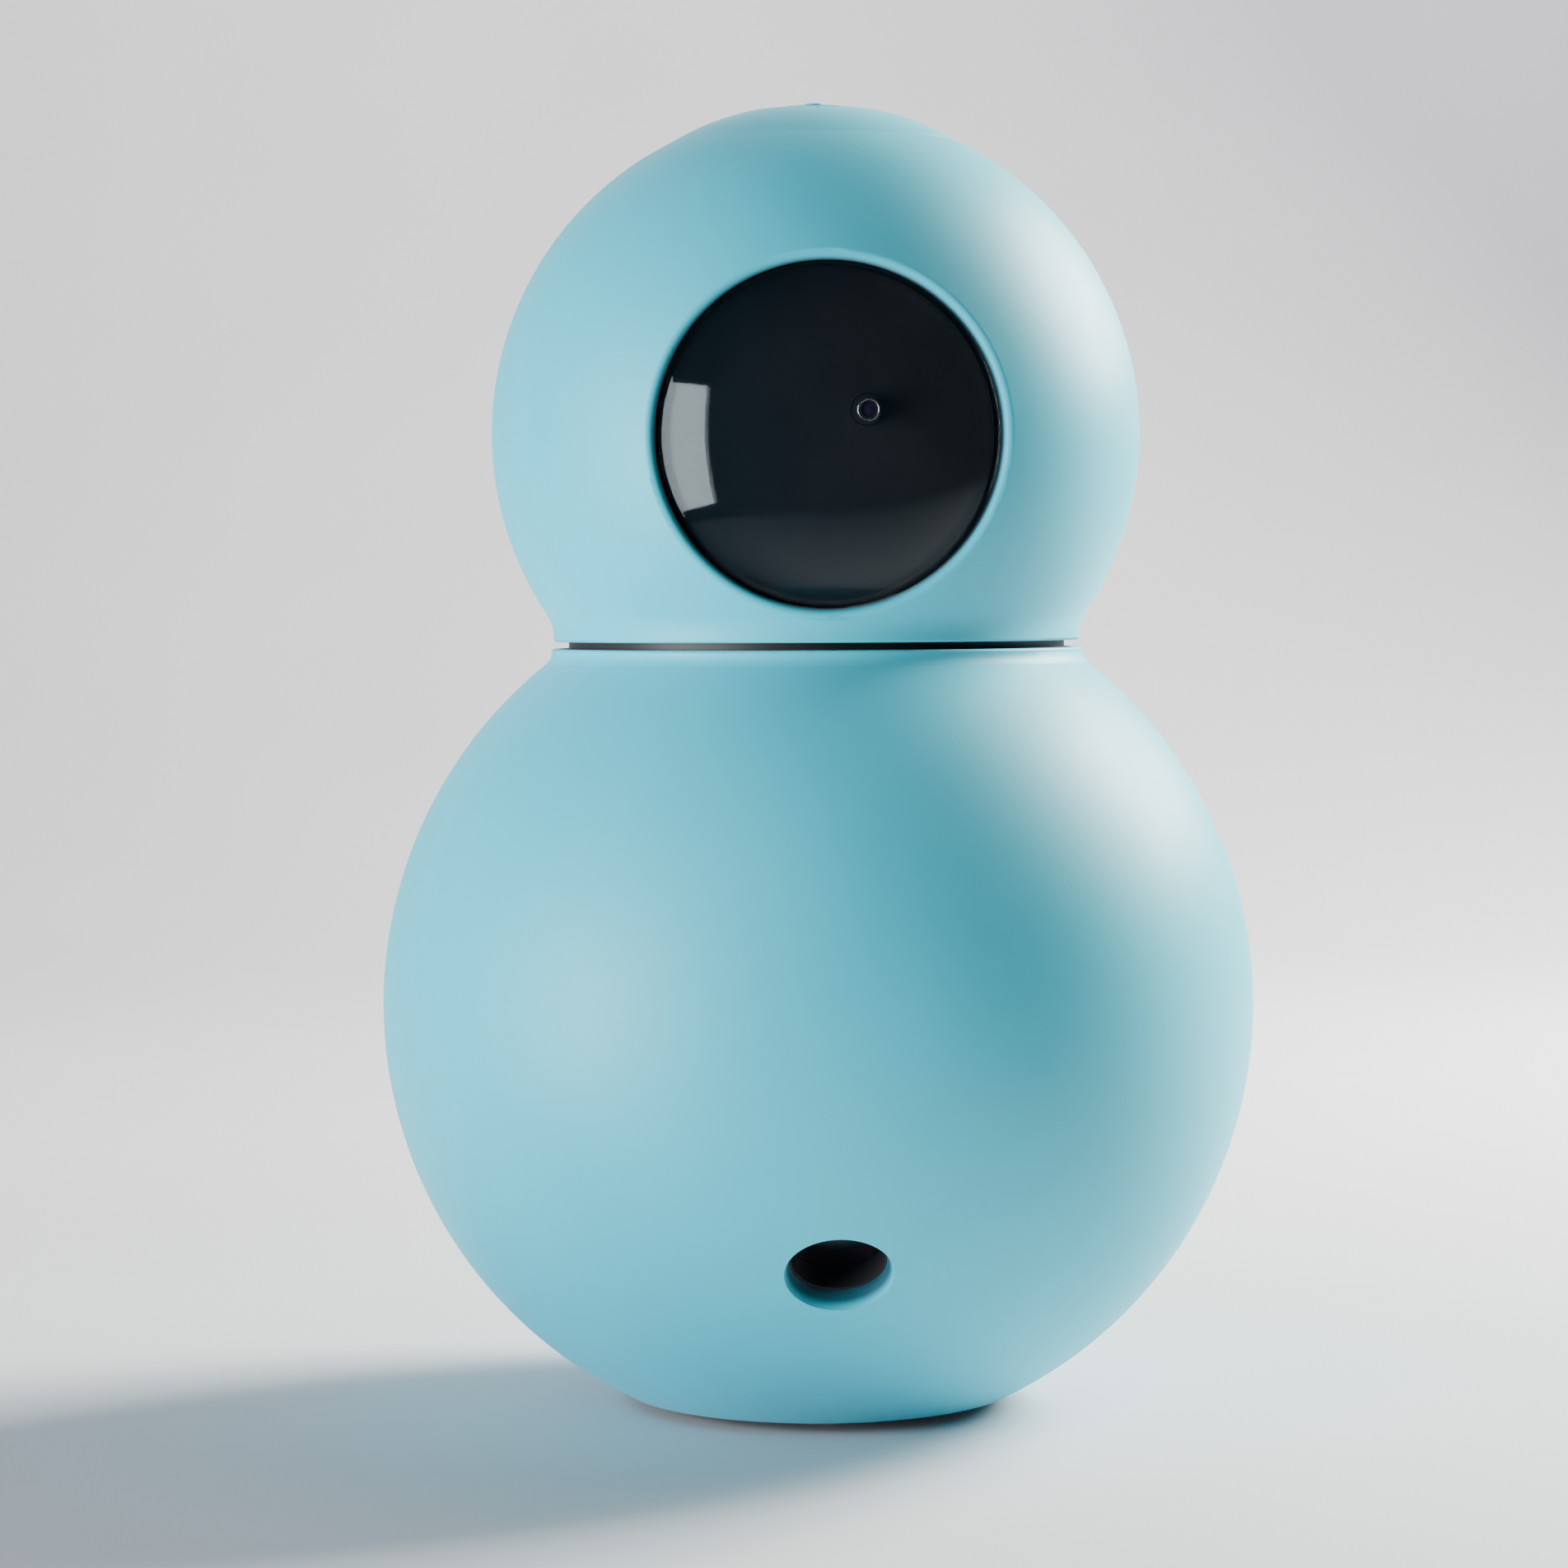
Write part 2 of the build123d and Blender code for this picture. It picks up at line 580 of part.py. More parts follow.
with BuildPart() as wheel_left_axle:
    add(wheel_axle(-1))
wheel_left_axle.part.label = "wheel_left_axle"
export_step(wheel_left_axle.part, "parts/wheel_left_axle.step")

with BuildPart() as wheel_right_hub:
    add(wheel_hub(1))
wheel_right_hub.part.label = "wheel_right_hub"
export_step(wheel_right_hub.part, "parts/wheel_right_hub.step")

with BuildPart() as wheel_right_tyre:
    add(wheel_tyre(1))
wheel_right_tyre.part.label = "wheel_right_tyre"
export_step(wheel_right_tyre.part, "parts/wheel_right_tyre.step")

with BuildPart() as wheel_right_axle:
    add(wheel_axle(1))
wheel_right_axle.part.label = "wheel_right_axle"
export_step(wheel_right_axle.part, "parts/wheel_right_axle.step")


def drive_motor(side):
    """Flat-sided gearmotor, gearbox end towards the wheel."""
    box = brick(MOTOR_X0, MOTOR_X0 + 9, -6, 6, WHEEL_R - 5, WHEEL_R + 5)
    can = along_x(6.0, MOTOR_X0 + 9, MOTOR_X1, 0, WHEEL_R)
    can &= brick(MOTOR_X0, MOTOR_X1, -6, 6, WHEEL_R - 5, WHEEL_R + 5)
    boss = along_x(2.0, MOTOR_X0 - 0.8, MOTOR_X0, 0, WHEEL_R)
    motor = box + can + boss
    motor -= along_x(AXLE_R + RUN, MOTOR_X0 - 2, MOTOR_X0 + 6, 0, WHEEL_R)
    return motor if side > 0 else motor.mirror(Plane.YZ)


def motor_bracket(side):
    """Saddle that stands the gearmotor on the chassis plate."""
    x0 = MOTOR_X0 + 0.4
    x1 = MOTOR_X0 + 8.6
    saddle = brick(x0, x1, -8.5, 8.5, PLATE_HIGH, WHEEL_R + 7.5)
    saddle -= brick(x0 - 1, x1 + 1, -6, 6, WHEEL_R - 5, WHEEL_R + 5)
    return saddle if side > 0 else saddle.mirror(Plane.YZ)


with BuildPart() as drive_motors:
    add(drive_motor(-1))
    add(drive_motor(1))
drive_motors.part.label = "drive_motors"
export_step(drive_motors.part, "parts/drive_motors.step")

with BuildPart() as motor_brackets:
    add(motor_bracket(-1))
    add(motor_bracket(1))
motor_brackets.part.label = "motor_brackets"
export_step(motor_brackets.part, "parts/motor_brackets.step")

# ----------------------------------------- middle deck, battery, main board
with BuildPart() as deck_posts:
    for px, py in POSTS:
        add(upright(3.0, PLATE_HIGH, TRAY_Z, px, py))
        add(upright(SHAFT_R, PLATE_LOW + 0.4, PLATE_HIGH, px, py))
        add(upright(SHAFT_R, TRAY_Z, TRAY_Z + 2.6, px, py))
deck_posts.part.label = "deck_posts"
export_step(deck_posts.part, "parts/deck_posts.step")

CELL_Z = TRAY_Z + 3 + 2.2 + CELL_R

with BuildPart() as middle_deck:
    add(upright(48.0, TRAY_Z, TRAY_Z + 3))
    for px, py in POSTS:
        add(upright(1.3, TRAY_Z - 1, TRAY_Z + 4, px, py), mode=Mode.SUBTRACT)
    for side in (-1, 1):
        add(brick(side * 29 - 4, side * 29 + 4, 23.0, 30.6, TRAY_Z + 3, TRAY_Z + 8))
        slot = brick(side * 29 - 5, side * 29 + 5, 26.0, 26.0 + BOARD, TRAY_Z + 3.6, TRAY_Z + 9)
        add(slot, mode=Mode.SUBTRACT)
middle_deck.part.label = "middle_deck"
export_step(middle_deck.part, "parts/middle_deck.step")

with BuildPart() as battery_tray:
    add(brick(-36, 36, -21, 21, TRAY_Z + 3, TRAY_Z + 5))
    for side in (-1, 1):
        add(brick(-36, 36, side * 20 - 1, side * 20 + 1, TRAY_Z + 5, TRAY_Z + 14))
        add(brick(side * 34.5 - 1.5, side * 34.5 + 1.5, -21, 21, TRAY_Z + 5, TRAY_Z + 18))
battery_tray.part.label = "battery_tray"
export_step(battery_tray.part, "parts/battery_tray.step")

with BuildPart() as battery_cells:
    for side in (-1, 1):
        add(along_x(CELL_R, -CELL_LENGTH / 2, CELL_LENGTH / 2, side * (CELL_R + 0.1), CELL_Z - 0.2))
battery_cells.part.label = "battery_cells"
export_step(battery_cells.part, "parts/battery_cells.step")

with BuildPart() as main_board:
    add(brick(-34, 34, 26.0, 26.0 + BOARD, TRAY_Z + 3.6, TRAY_Z + 52))
    add(brick(-10, 10, 22.6, 26.0, TRAY_Z + 30, TRAY_Z + 46))
    for count in range(4):
        add(brick(-28 + 16 * count, -20 + 16 * count, 27.6, 33.0, TRAY_Z + 8, TRAY_Z + 14))
main_board.part.label = "main_board"
export_step(main_board.part, "parts/main_board.step")

# ----------------------------------------------------- neck deck and bearing
PAN_X = GEAR_DIST

with BuildPart() as neck_deck:
    add(upright(66.2, DECK_LOW, DECK_HIGH))
    add(upright(18.9, DECK_HIGH, 187.0))
    add(upright(21.0, DECK_HIGH, RACE_LOW))
    add(brick(-4, 4, STOP_R - 3, STOP_R + 3, DECK_HIGH, 189.0))
    add(upright(12.5, DECK_LOW - 1, 188.0), mode=Mode.SUBTRACT)
    add(upright(6.0, DECK_LOW - 1, DECK_HIGH + 1, PAN_X, 0), mode=Mode.SUBTRACT)
    for px, py in DECK_SCREWS:
        add(upright(CLEAR_R, DECK_LOW - 1, DECK_HIGH + 1, px, py), mode=Mode.SUBTRACT)
neck_deck.part.label = "neck_deck"
export_step(neck_deck.part, "parts/neck_deck.step")

with BuildPart() as deck_screws:
    for px, py in DECK_SCREWS:
        add(upright(SHAFT_R, DECK_LOW - 9, DECK_HIGH, px, py))
        add(upright(2.8, DECK_HIGH, DECK_HIGH + 2, px, py))
        add(upright(SHAFT_R, DECK_HIGH + 1.1, DECK_HIGH + 3, px, py), mode=Mode.SUBTRACT)
deck_screws.part.label = "deck_screws"
export_step(deck_screws.part, "parts/deck_screws.step")

with BuildPart() as neck_baffle:
    add(tube(60.0, 57.8, DECK_HIGH, 189.0))
    for px, py in DECK_SCREWS:
        add(upright(4.2, DECK_HIGH - 1, DECK_HIGH + 4, px, py), mode=Mode.SUBTRACT)
neck_baffle.part.label = "neck_baffle"
export_step(neck_baffle.part, "parts/neck_baffle.step")

race_groove = Pos(0, 0, RACE_MID) * Torus(BALL_PATH_R, BALL_R + RUN)

with BuildPart() as bearing_inner_race:
    add(tube(23.6, 18.9, RACE_LOW, RACE_HIGH))
    add(race_groove, mode=Mode.SUBTRACT)
bearing_inner_race.part.label = "bearing_inner_race"
export_step(bearing_inner_race.part, "parts/bearing_inner_race.step")

with BuildPart() as bearing_outer_race:
    add(tube(31.0, 26.4, RACE_LOW, RACE_HIGH))
    add(race_groove, mode=Mode.SUBTRACT)
bearing_outer_race.part.label = "bearing_outer_race"
export_step(bearing_outer_race.part, "parts/bearing_outer_race.step")

with BuildPart() as bearing_balls:
    for px, py in ring_points(BALL_PATH_R, 18, 0):
        add(ball(BALL_R, px, py, RACE_MID))
bearing_balls.part.label = "bearing_balls"
export_step(bearing_balls.part, "parts/bearing_balls.step")

# ------------------------------------------------------------- pan drive
with BuildPart() as pan_gear:
    with BuildSketch(Plane.XY.offset(GEAR_LOW)):
        with BuildLine():
            Polyline(*gear_outline(GEAR_TEETH, BACKLASH, 0), close=True)
        make_face()
        Circle(31.6, mode=Mode.SUBTRACT)
    extrude(amount=GEAR_HIGH - GEAR_LOW)
pan_gear.part.label = "pan_gear"
export_step(pan_gear.part, "parts/pan_gear.step")

with BuildPart() as pan_pinion:
    with BuildSketch(Plane.XY.offset(GEAR_LOW)):
        with BuildLine():
            Polyline(
                *[(px + PAN_X, py) for px, py in gear_outline(PINION_TEETH, BACKLASH, 10)],
                close=True,
            )
        make_face()
    extrude(amount=GEAR_HIGH - GEAR_LOW)
    add(upright(AXLE_R, DECK_LOW - 6, GEAR_LOW + 1, PAN_X, 0))
pan_pinion.part.label = "pan_pinion"
export_step(pan_pinion.part, "parts/pan_pinion.step")

with BuildPart() as pan_motor:
    add(upright(12.5, DECK_LOW - 24, DECK_LOW, PAN_X, 0))
    add(upright(5.9, DECK_LOW, DECK_HIGH, PAN_X, 0))
    add(upright(AXLE_R + RUN, DECK_LOW - 6.6, DECK_HIGH + 1, PAN_X, 0), mode=Mode.SUBTRACT)
pan_motor.part.label = "pan_motor"
export_step(pan_motor.part, "parts/pan_motor.step")

# -------------------------------------------------------------- turntable
with BuildPart() as turntable:
    add(upright(60.9, TABLE_LOW, TABLE_HIGH))
    add(upright(36.0, GEAR_HIGH, TABLE_LOW))
    add(upright(31.6, GEAR_LOW, GEAR_HIGH))
    add(brick(-4, 4, -STOP_R - 3, -STOP_R + 3, 184.4, TABLE_LOW))
    add(upright(31.0, GEAR_LOW - 1, RACE_HIGH), mode=Mode.SUBTRACT)
    add(upright(27.5, GEAR_LOW - 1, 188.2), mode=Mode.SUBTRACT)
    add(upright(14.0, GEAR_LOW - 1, TABLE_HIGH + 1), mode=Mode.SUBTRACT)
    for px, py in TABLE_SCREWS:
        add(upright(CLEAR_R, TABLE_LOW - 1, TABLE_HIGH + 1, px, py), mode=Mode.SUBTRACT)
turntable.part.label = "turntable"
export_step(turntable.part, "parts/turntable.step")

# ------------------------------------------------------------ head shells
face_plane = Plane(
    origin=(0, 0, HEAD_Z),
    x_dir=(1, 0, 0),
    z_dir=(0, -math.cos(math.radians(FACE_TILT)), -math.sin(math.radians(FACE_TILT))),
)


def face_bar(radius, near, far, x=0.0, v=0.0):
    """Round bar along the face axis, between two distances."""
    return plane_bar(face_plane, radius, near, far, x, v)


def face_block(width, height, near, far, x=0.0, v=0.0):
    """Square bar along the face axis, between two distances."""
    return plane_block(face_plane, width, height, near, far, x, v)


def face_opening():
    """Cutter for the round face opening, with its softly rounded mouth."""
    round_x = FACE_HOLE_R + FACE_ROUND
    round_w = math.sqrt((HEAD_R - FACE_ROUND) ** 2 - round_x ** 2)
    swell = HEAD_R / (HEAD_R - FACE_ROUND)
    bend = math.pi - (math.pi - math.atan2(round_w, round_x)) / 2
    mid = (round_x + FACE_ROUND * math.cos(bend), round_w + FACE_ROUND * math.sin(bend))
    side = Plane(origin=(0, 0, HEAD_Z), x_dir=(1, 0, 0), z_dir=-face_plane.y_dir)
    with BuildPart() as cutter:
        with BuildSketch(side):
            with BuildLine():
                Polyline((FACE_HOLE_R, round_w), (FACE_HOLE_R, 40), (0, 40), (0, 90))
                Polyline((0, 90), (round_x * swell, 90), (round_x * swell, round_w * swell))
                ThreePointArc((round_x * swell, round_w * swell), mid, (FACE_HOLE_R, round_w))
            make_face()
        revolve(axis=Axis((0, 0, HEAD_Z), face_plane.z_dir))
    return cutter.part


face_cutter = face_opening()
head_wall = head_outer - head_inner
head_wall += tube(75, 52, TABLE_HIGH, TABLE_HIGH + 3) & head_outer
for px, py in TABLE_SCREWS:
    head_wall += upright(3.6, TABLE_HIGH, TABLE_HIGH + 9, px, py) & head_outer
    head_wall -= upright(TAP_R, TABLE_HIGH - 1, TABLE_HIGH + 8, px, py)
head_wall += (face_bar(48, FLANGE_AT, 72) - face_bar(20, 40, 80)) & head_outer
head_wall -= brick(-60, 60, -61.2, -20, 180, TABLE_HIGH) & upright(61.2, 180, TABLE_HIGH)
head_wall -= upright(CAP_R + CAP_GAP, HEAD_Z + 40, HEAD_Z + 90)
FACE_SCREWS = [
    (DOME_SCREW_R * math.cos(math.radians(a)), DOME_SCREW_R * math.sin(math.radians(a)))
    for a in (20, 90, 160, 215, 325)
]

with BuildPart() as head_front_shell:
    add(head_wall)
    add(front_posts(head_posts, HEAD_SPLIT, 8.0) & head_outer)
    add(brick(-90, 90, HEAD_SPLIT, 90, 150, 330), mode=Mode.SUBTRACT)
    add(face_cutter, mode=Mode.SUBTRACT)
    for px, pz, angle in head_posts:
        add(along_y(TAP_R, HEAD_SPLIT - 10.5, HEAD_SPLIT + 1, px, pz), mode=Mode.SUBTRACT)
    for fx, fv in FACE_SCREWS:
        add(face_bar(FINE_TAP_R, FLANGE_AT - 1, 63.6, fx, fv), mode=Mode.SUBTRACT)
head_front_shell.part.label = "head_front_shell"
export_step(head_front_shell.part, "parts/head_front_shell.step")

with BuildPart() as head_rear_shell:
    add(head_wall)
    add(rear_posts(head_posts, HEAD_SPLIT) & head_outer)
    add(brick(-90, 90, -90, HEAD_SPLIT, 150, 330), mode=Mode.SUBTRACT)
    add(upright(CAP_R + 4.5, HEAD_Z + 60, HEAD_Z + 75.4) & head_inner, mode=Mode.SUBTRACT)
    for px, pz, angle in head_posts:
        add(along_y(CLEAR_R, HEAD_SPLIT - 1, HEAD_SPLIT + 7, px, pz), mode=Mode.SUBTRACT)
        add(along_y(SINK_R, HEAD_SPLIT + 6, HEAD_SPLIT + 60, px, pz), mode=Mode.SUBTRACT)
head_rear_shell.part.label = "head_rear_shell"
export_step(head_rear_shell.part, "parts/head_rear_shell.step")

with BuildPart() as head_shell_screws:
    for px, pz, angle in head_posts:
        add(along_y(SHAFT_R, HEAD_SPLIT - 9, HEAD_SPLIT + 6, px, pz))
        add(along_y(SHELL_HEAD_R, HEAD_SPLIT + 6, HEAD_SPLIT + 8.2, px, pz))
        add(along_y(1.3, HEAD_SPLIT + 7.2, HEAD_SPLIT + 9, px, pz), mode=Mode.SUBTRACT)
head_shell_screws.part.label = "head_shell_screws"
export_step(head_shell_screws.part, "parts/head_shell_screws.step")

with BuildPart() as turntable_screws:
    for px, py in TABLE_SCREWS:
        add(screw_up(px, py, TABLE_LOW, TABLE_HIGH + 7, TABLE_LOW - 0.7, SHAFT_R, 1.9))
turntable_screws.part.label = "turntable_screws"
export_step(turntable_screws.part, "parts/turntable_screws.step")

# ------------------------------------------------------------------- face
below_ledge = brick(-60, 60, -80, 0, 150, TABLE_HIGH + 3.2)

with BuildPart() as face_dome:
    add(face_bar(DOME_R, FLANGE_AT, DOME_CROWN + 1))
    centre = face_plane.offset(DOME_CROWN - DOME_CURVE).origin
    add(ball(DOME_CURVE, centre.X, centre.Y, centre.Z), mode=Mode.INTERSECT)
    flange = face_bar(FLANGE_R, FLANGE_AT - 2.2, FLANGE_AT) - below_ledge
    add(flange)
    add(face_bar(DOME_R - 2, 50, FLANGE_AT + 0.5), mode=Mode.SUBTRACT)
    hollow = face_bar(DOME_R - 2, FLANGE_AT - 5, DOME_CROWN + 1)
    hollow &= ball(DOME_CURVE - DOME_WALL, centre.X, centre.Y, centre.Z)
    add(hollow, mode=Mode.SUBTRACT)
    add(brick(-60, 60, -61.4, 0, 150, TABLE_HIGH + 0.4), mode=Mode.SUBTRACT)
    for fx, fv in FACE_SCREWS:
        add(face_bar(1.1, 50, FLANGE_AT + 0.5, fx, fv), mode=Mode.SUBTRACT)
face_dome.part.label = "face_dome"
export_step(face_dome.part, "parts/face_dome.step")

with BuildPart() as face_retainer:
    add(face_bar(FLANGE_R, FLANGE_AT - 4.4, FLANGE_AT - 2.2))
    add(face_bar(39.6, 50, 62), mode=Mode.SUBTRACT)
    add(below_ledge, mode=Mode.SUBTRACT)
    for fx, fv in FACE_SCREWS:
        add(face_bar(1.1, 50, FLANGE_AT, fx, fv), mode=Mode.SUBTRACT)
face_retainer.part.label = "face_retainer"
export_step(face_retainer.part, "parts/face_retainer.step")

with BuildPart() as face_screws:
    for fx, fv in FACE_SCREWS:
        add(face_bar(FINE_R, FLANGE_AT - 4.4, 63.4, fx, fv))
        add(face_bar(FINE_HEAD_R, FLANGE_AT - 5.8, FLANGE_AT - 4.4, fx, fv))
face_screws.part.label = "face_screws"
export_step(face_screws.part, "parts/face_screws.step")

with BuildPart() as face_plate:
    add(face_bar(38.3, 53.0, 55.0))
    add(face_bar(3.8, 50, 60, LENS_X, LENS_V), mode=Mode.SUBTRACT)
face_plate.part.label = "face_plate"
export_step(face_plate.part, "parts/face_plate.step")

# --------------------------------------------------- camera and head frame
CAMERA_POSTS = [(LENS_X + sx * 9, LENS_V + sv * 9) for sx in (-1, 1) for sv in (-1, 1)]
PLATE_POSTS = [(sx * 24.0, sv * 23.0) for sx in (-1, 1) for sv in (-1, 1)]
BOARD_POSTS = [(sx * 21.0, sv * 20.0) for sx in (-1, 1) for sv in (-1, 1)]

with BuildPart() as head_frame:
    add(face_block(54, 72, 38, 41, 0, -7))
    add(brick(-27, 27, -42, -16, TABLE_HIGH - 2, TABLE_HIGH + 3))
    for fx, fv in PLATE_POSTS:
        add(face_bar(2.2, 41, 53, fx, fv))
    for fx, fv in CAMERA_POSTS:
        add(face_bar(1.5, 41, 44, fx, fv))
    for fx, fv in BOARD_POSTS:
        add(face_bar(2.0, 30.0 + BOARD, 38, fx, fv))
    add(brick(-40, 40, -80, 0, TABLE_HIGH - 20, TABLE_HIGH), mode=Mode.SUBTRACT)
head_frame.part.label = "head_frame"
export_step(head_frame.part, "parts/head_frame.step")

with BuildPart() as camera_board:
    add(face_block(24, 24, 44, 45.2, LENS_X, LENS_V))
camera_board.part.label = "camera_board"
export_step(camera_board.part, "parts/camera_board.step")

with BuildPart() as camera_barrel:
    add(face_block(8.5, 8.5, 45.2, 50, LENS_X, LENS_V))
    add(face_bar(3.5, 50, 57, LENS_X, LENS_V))
    add(face_bar(2.65, 57, 61, LENS_X, LENS_V))
    add(face_bar(1.75, 58, 62, LENS_X, LENS_V), mode=Mode.SUBTRACT)
camera_barrel.part.label = "camera_barrel"
export_step(camera_barrel.part, "parts/camera_barrel.step")

with BuildPart() as camera_lens:
    add(face_bar(1.75, 58, 60.6, LENS_X, LENS_V))
    lens_back = (face_plane.offset(57.2).location * Pos(LENS_X, LENS_V)).position
    add(ball(3.4, lens_back.X, lens_back.Y, lens_back.Z), mode=Mode.INTERSECT)
camera_lens.part.label = "camera_lens"
export_step(camera_lens.part, "parts/camera_lens.step")

with BuildPart() as head_board:
    add(face_block(50, 48, 30.0, 30.0 + BOARD))
    add(face_block(15, 15, 28.4, 30.0, -6, 4))
    add(face_block(9, 12, 28.8, 30.0, 14, -8))
head_board.part.label = "head_board"
export_step(head_board.part, "parts/head_board.step")

# --------------------------------------------- control cap on the head top
TOP_POSTS = ring_points(20.6, 3, 90)


def head_ball(radius):
    """Sphere round the head centre."""
    return ball(radius, 0, 0, HEAD_Z)


def cap_ball(radius):
    """Sphere round the centre of the cap's curve."""
    return ball(radius, 0, 0, HEAD_Z + CAP_CENTRE)


def cap_mark(x0, x1, y0, y1):
    """Raised bar on the cap."""
    return brick(x0, x1, y0, y1, HEAD_Z + 70, HEAD_Z + 90) & cap_ball(CAP_CURVE + MARK_RISE)


with BuildPart() as control_cap:
    add(cap_ball(CAP_CURVE))
    add(upright(CAP_R, HEAD_Z + 40, HEAD_Z + 90), mode=Mode.INTERSECT)
    rims = control_cap.edges().filter_by(GeomType.CIRCLE).filter_by(lambda rim: rim.is_closed)
    fillet(rims.sort_by(Axis.Z)[-1], CAP_ROUND)
    add(head_ball(HEAD_R - WALL), mode=Mode.SUBTRACT)
    flange = head_ball(HEAD_R - WALL) - head_ball(HEAD_R - WALL - CAP_FLANGE)
    flange &= tube(39.0, 29.0, HEAD_Z + 50, HEAD_Z + 90)
    add(flange)
    for px, py in TOP_POSTS:
        add(upright(2.2, HEAD_Z + 67.1, HEAD_Z + 73.5, px, py))
        add(upright(FINE_TAP_R, HEAD_Z + 66, HEAD_Z + 72.5, px, py), mode=Mode.SUBTRACT)
    dish = upright(DISH_OUT + 0.1, HEAD_Z + 60, HEAD_Z + 90) - head_ball(DISH_FLOOR)
    add(dish, mode=Mode.SUBTRACT)
    add(upright(DISH_IN - 0.1, HEAD_Z + 60, HEAD_Z + 90), mode=Mode.SUBTRACT)
    for px, py in ring_points(19.6, 4, 0):
        add(upright(0.5, HEAD_Z + 60, HEAD_Z + 90, px, py), mode=Mode.SUBTRACT)
    for step in (-1, 0, 1):
        add(cap_mark(24.6, 28.2, step * 1.9 - 0.45, step * 1.9 + 0.45))
    add(cap_mark(-29.0, -21.5, -0.45, 0.45))
control_cap.part.label = "control_cap"
export_step(control_cap.part, "parts/control_cap.step")

with BuildPart() as dish_ring:
    add(head_ball(HEAD_R + DISH_RISE))
    add(tube(DISH_OUT, DISH_IN, HEAD_Z + 60, HEAD_Z + 90), mode=Mode.INTERSECT)
    add(head_ball(DISH_FLOOR), mode=Mode.SUBTRACT)
dish_ring.part.label = "dish_ring"
export_step(dish_ring.part, "parts/dish_ring.step")

with BuildPart() as top_button:
    add(upright(BUTTON_R, HEAD_Z + 74.0, HEAD_Z + 90))
    add(head_ball(HEAD_R + BUTTON_RISE), mode=Mode.INTERSECT)
    add(upright(NUB_R, HEAD_Z + 74.0, HEAD_Z + NUB_TOP))
    add(upright(11.6, HEAD_Z + 72.8, HEAD_Z + 74.3))
    add(upright(2.0, HEAD_Z + 70.7, HEAD_Z + 73.0))
top_button.part.label = "top_button"
export_step(top_button.part, "parts/top_button.step")

with BuildPart() as top_board:
    add(upright(24.0, HEAD_Z + 65.5, HEAD_Z + 65.5 + BOARD))
    add(brick(-3.1, 3.1, -3.1, 3.1, HEAD_Z + 67.1, HEAD_Z + 69.5))
    for px, py in TOP_POSTS:
        add(upright(1.1, HEAD_Z + 60, HEAD_Z + 70, px, py), mode=Mode.SUBTRACT)
top_board.part.label = "top_board"
export_step(top_board.part, "parts/top_board.step")

with BuildPart() as top_screws:
    for px, py in TOP_POSTS:
        add(screw_up(px, py, HEAD_Z + 65.5, HEAD_Z + 71.5, HEAD_Z + 64.1, FINE_R, FINE_HEAD_R))
top_screws.part.label = "top_screws"
export_step(top_screws.part, "parts/top_screws.step")
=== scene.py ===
import json
import math

import bmesh
import bpy
from mathutils import Matrix, Vector


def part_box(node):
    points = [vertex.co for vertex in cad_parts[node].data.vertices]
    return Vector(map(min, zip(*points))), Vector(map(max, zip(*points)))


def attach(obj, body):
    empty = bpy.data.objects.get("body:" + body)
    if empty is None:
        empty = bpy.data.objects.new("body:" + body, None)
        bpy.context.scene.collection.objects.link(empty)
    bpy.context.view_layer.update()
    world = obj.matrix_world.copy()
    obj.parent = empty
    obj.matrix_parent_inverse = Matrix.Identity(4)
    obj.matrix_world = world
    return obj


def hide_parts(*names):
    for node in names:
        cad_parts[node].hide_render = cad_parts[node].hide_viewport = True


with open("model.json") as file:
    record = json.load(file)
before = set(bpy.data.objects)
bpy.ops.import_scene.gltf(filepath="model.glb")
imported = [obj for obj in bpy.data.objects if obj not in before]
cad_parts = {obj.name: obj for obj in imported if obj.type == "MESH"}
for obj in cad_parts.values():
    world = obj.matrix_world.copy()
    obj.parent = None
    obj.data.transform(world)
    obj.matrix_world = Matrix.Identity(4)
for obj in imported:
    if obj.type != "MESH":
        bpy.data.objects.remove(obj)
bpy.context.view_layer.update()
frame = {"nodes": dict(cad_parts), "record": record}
nodes = frame["nodes"]
slot_of = {entry["node"]: entry["material_slot"] for entry in frame["record"]["subparts"]}

MM = 0.001

# Centre heights of the two balls, and how far the face looks down.
HEAD_OVER_RIM = 49.6 * MM
HEAD_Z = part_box("head_front_shell")[0][2] + HEAD_OVER_RIM
BODY_Z = 97.0 * MM
FACE_TILT = math.radians(2.2)

# The shells' centres and radii, and how deep below the outer surface the painted shade in recesses
# reaches.
BALLS = {
    "body": (BODY_Z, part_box("body_front_shell")[1][0]),
    "head": (HEAD_Z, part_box("head_front_shell")[1][0]),
}
SHADE_FULL = 0.10 * MM
SHADE_REACH = 3.0 * MM

# The dome and the camera's ring, in millimetres along and across the face axis.
DOME_RIM = 39.2
DOME_CURVE = 72.0
DOME_CROWN = 75.6
DOME_WALL = 2.0
DOME_BEVEL = 1.0
DOME_BEVEL_DEPTH = 0.9
DOME_SKIRT = 61.6
LENS_X = 9.2
LENS_V = 5.7
RING_RADIUS = 2.38
RING_THICKNESS = 0.30
RING_DEPTH = 61.05

# The floor turns dark in front of the robot, so that the dome reflects dark.
DARK_FROM = -0.20
DARK_FULL = -0.40


# ------------------------------------------------------------- material kit
def new_material(name):
    """An empty node material with its shader; returns material, tree, shader."""
    material = bpy.data.materials.new(name)
    material.use_nodes = True
    tree = material.node_tree
    shader = tree.nodes["Principled BSDF"]
    return material, tree, shader


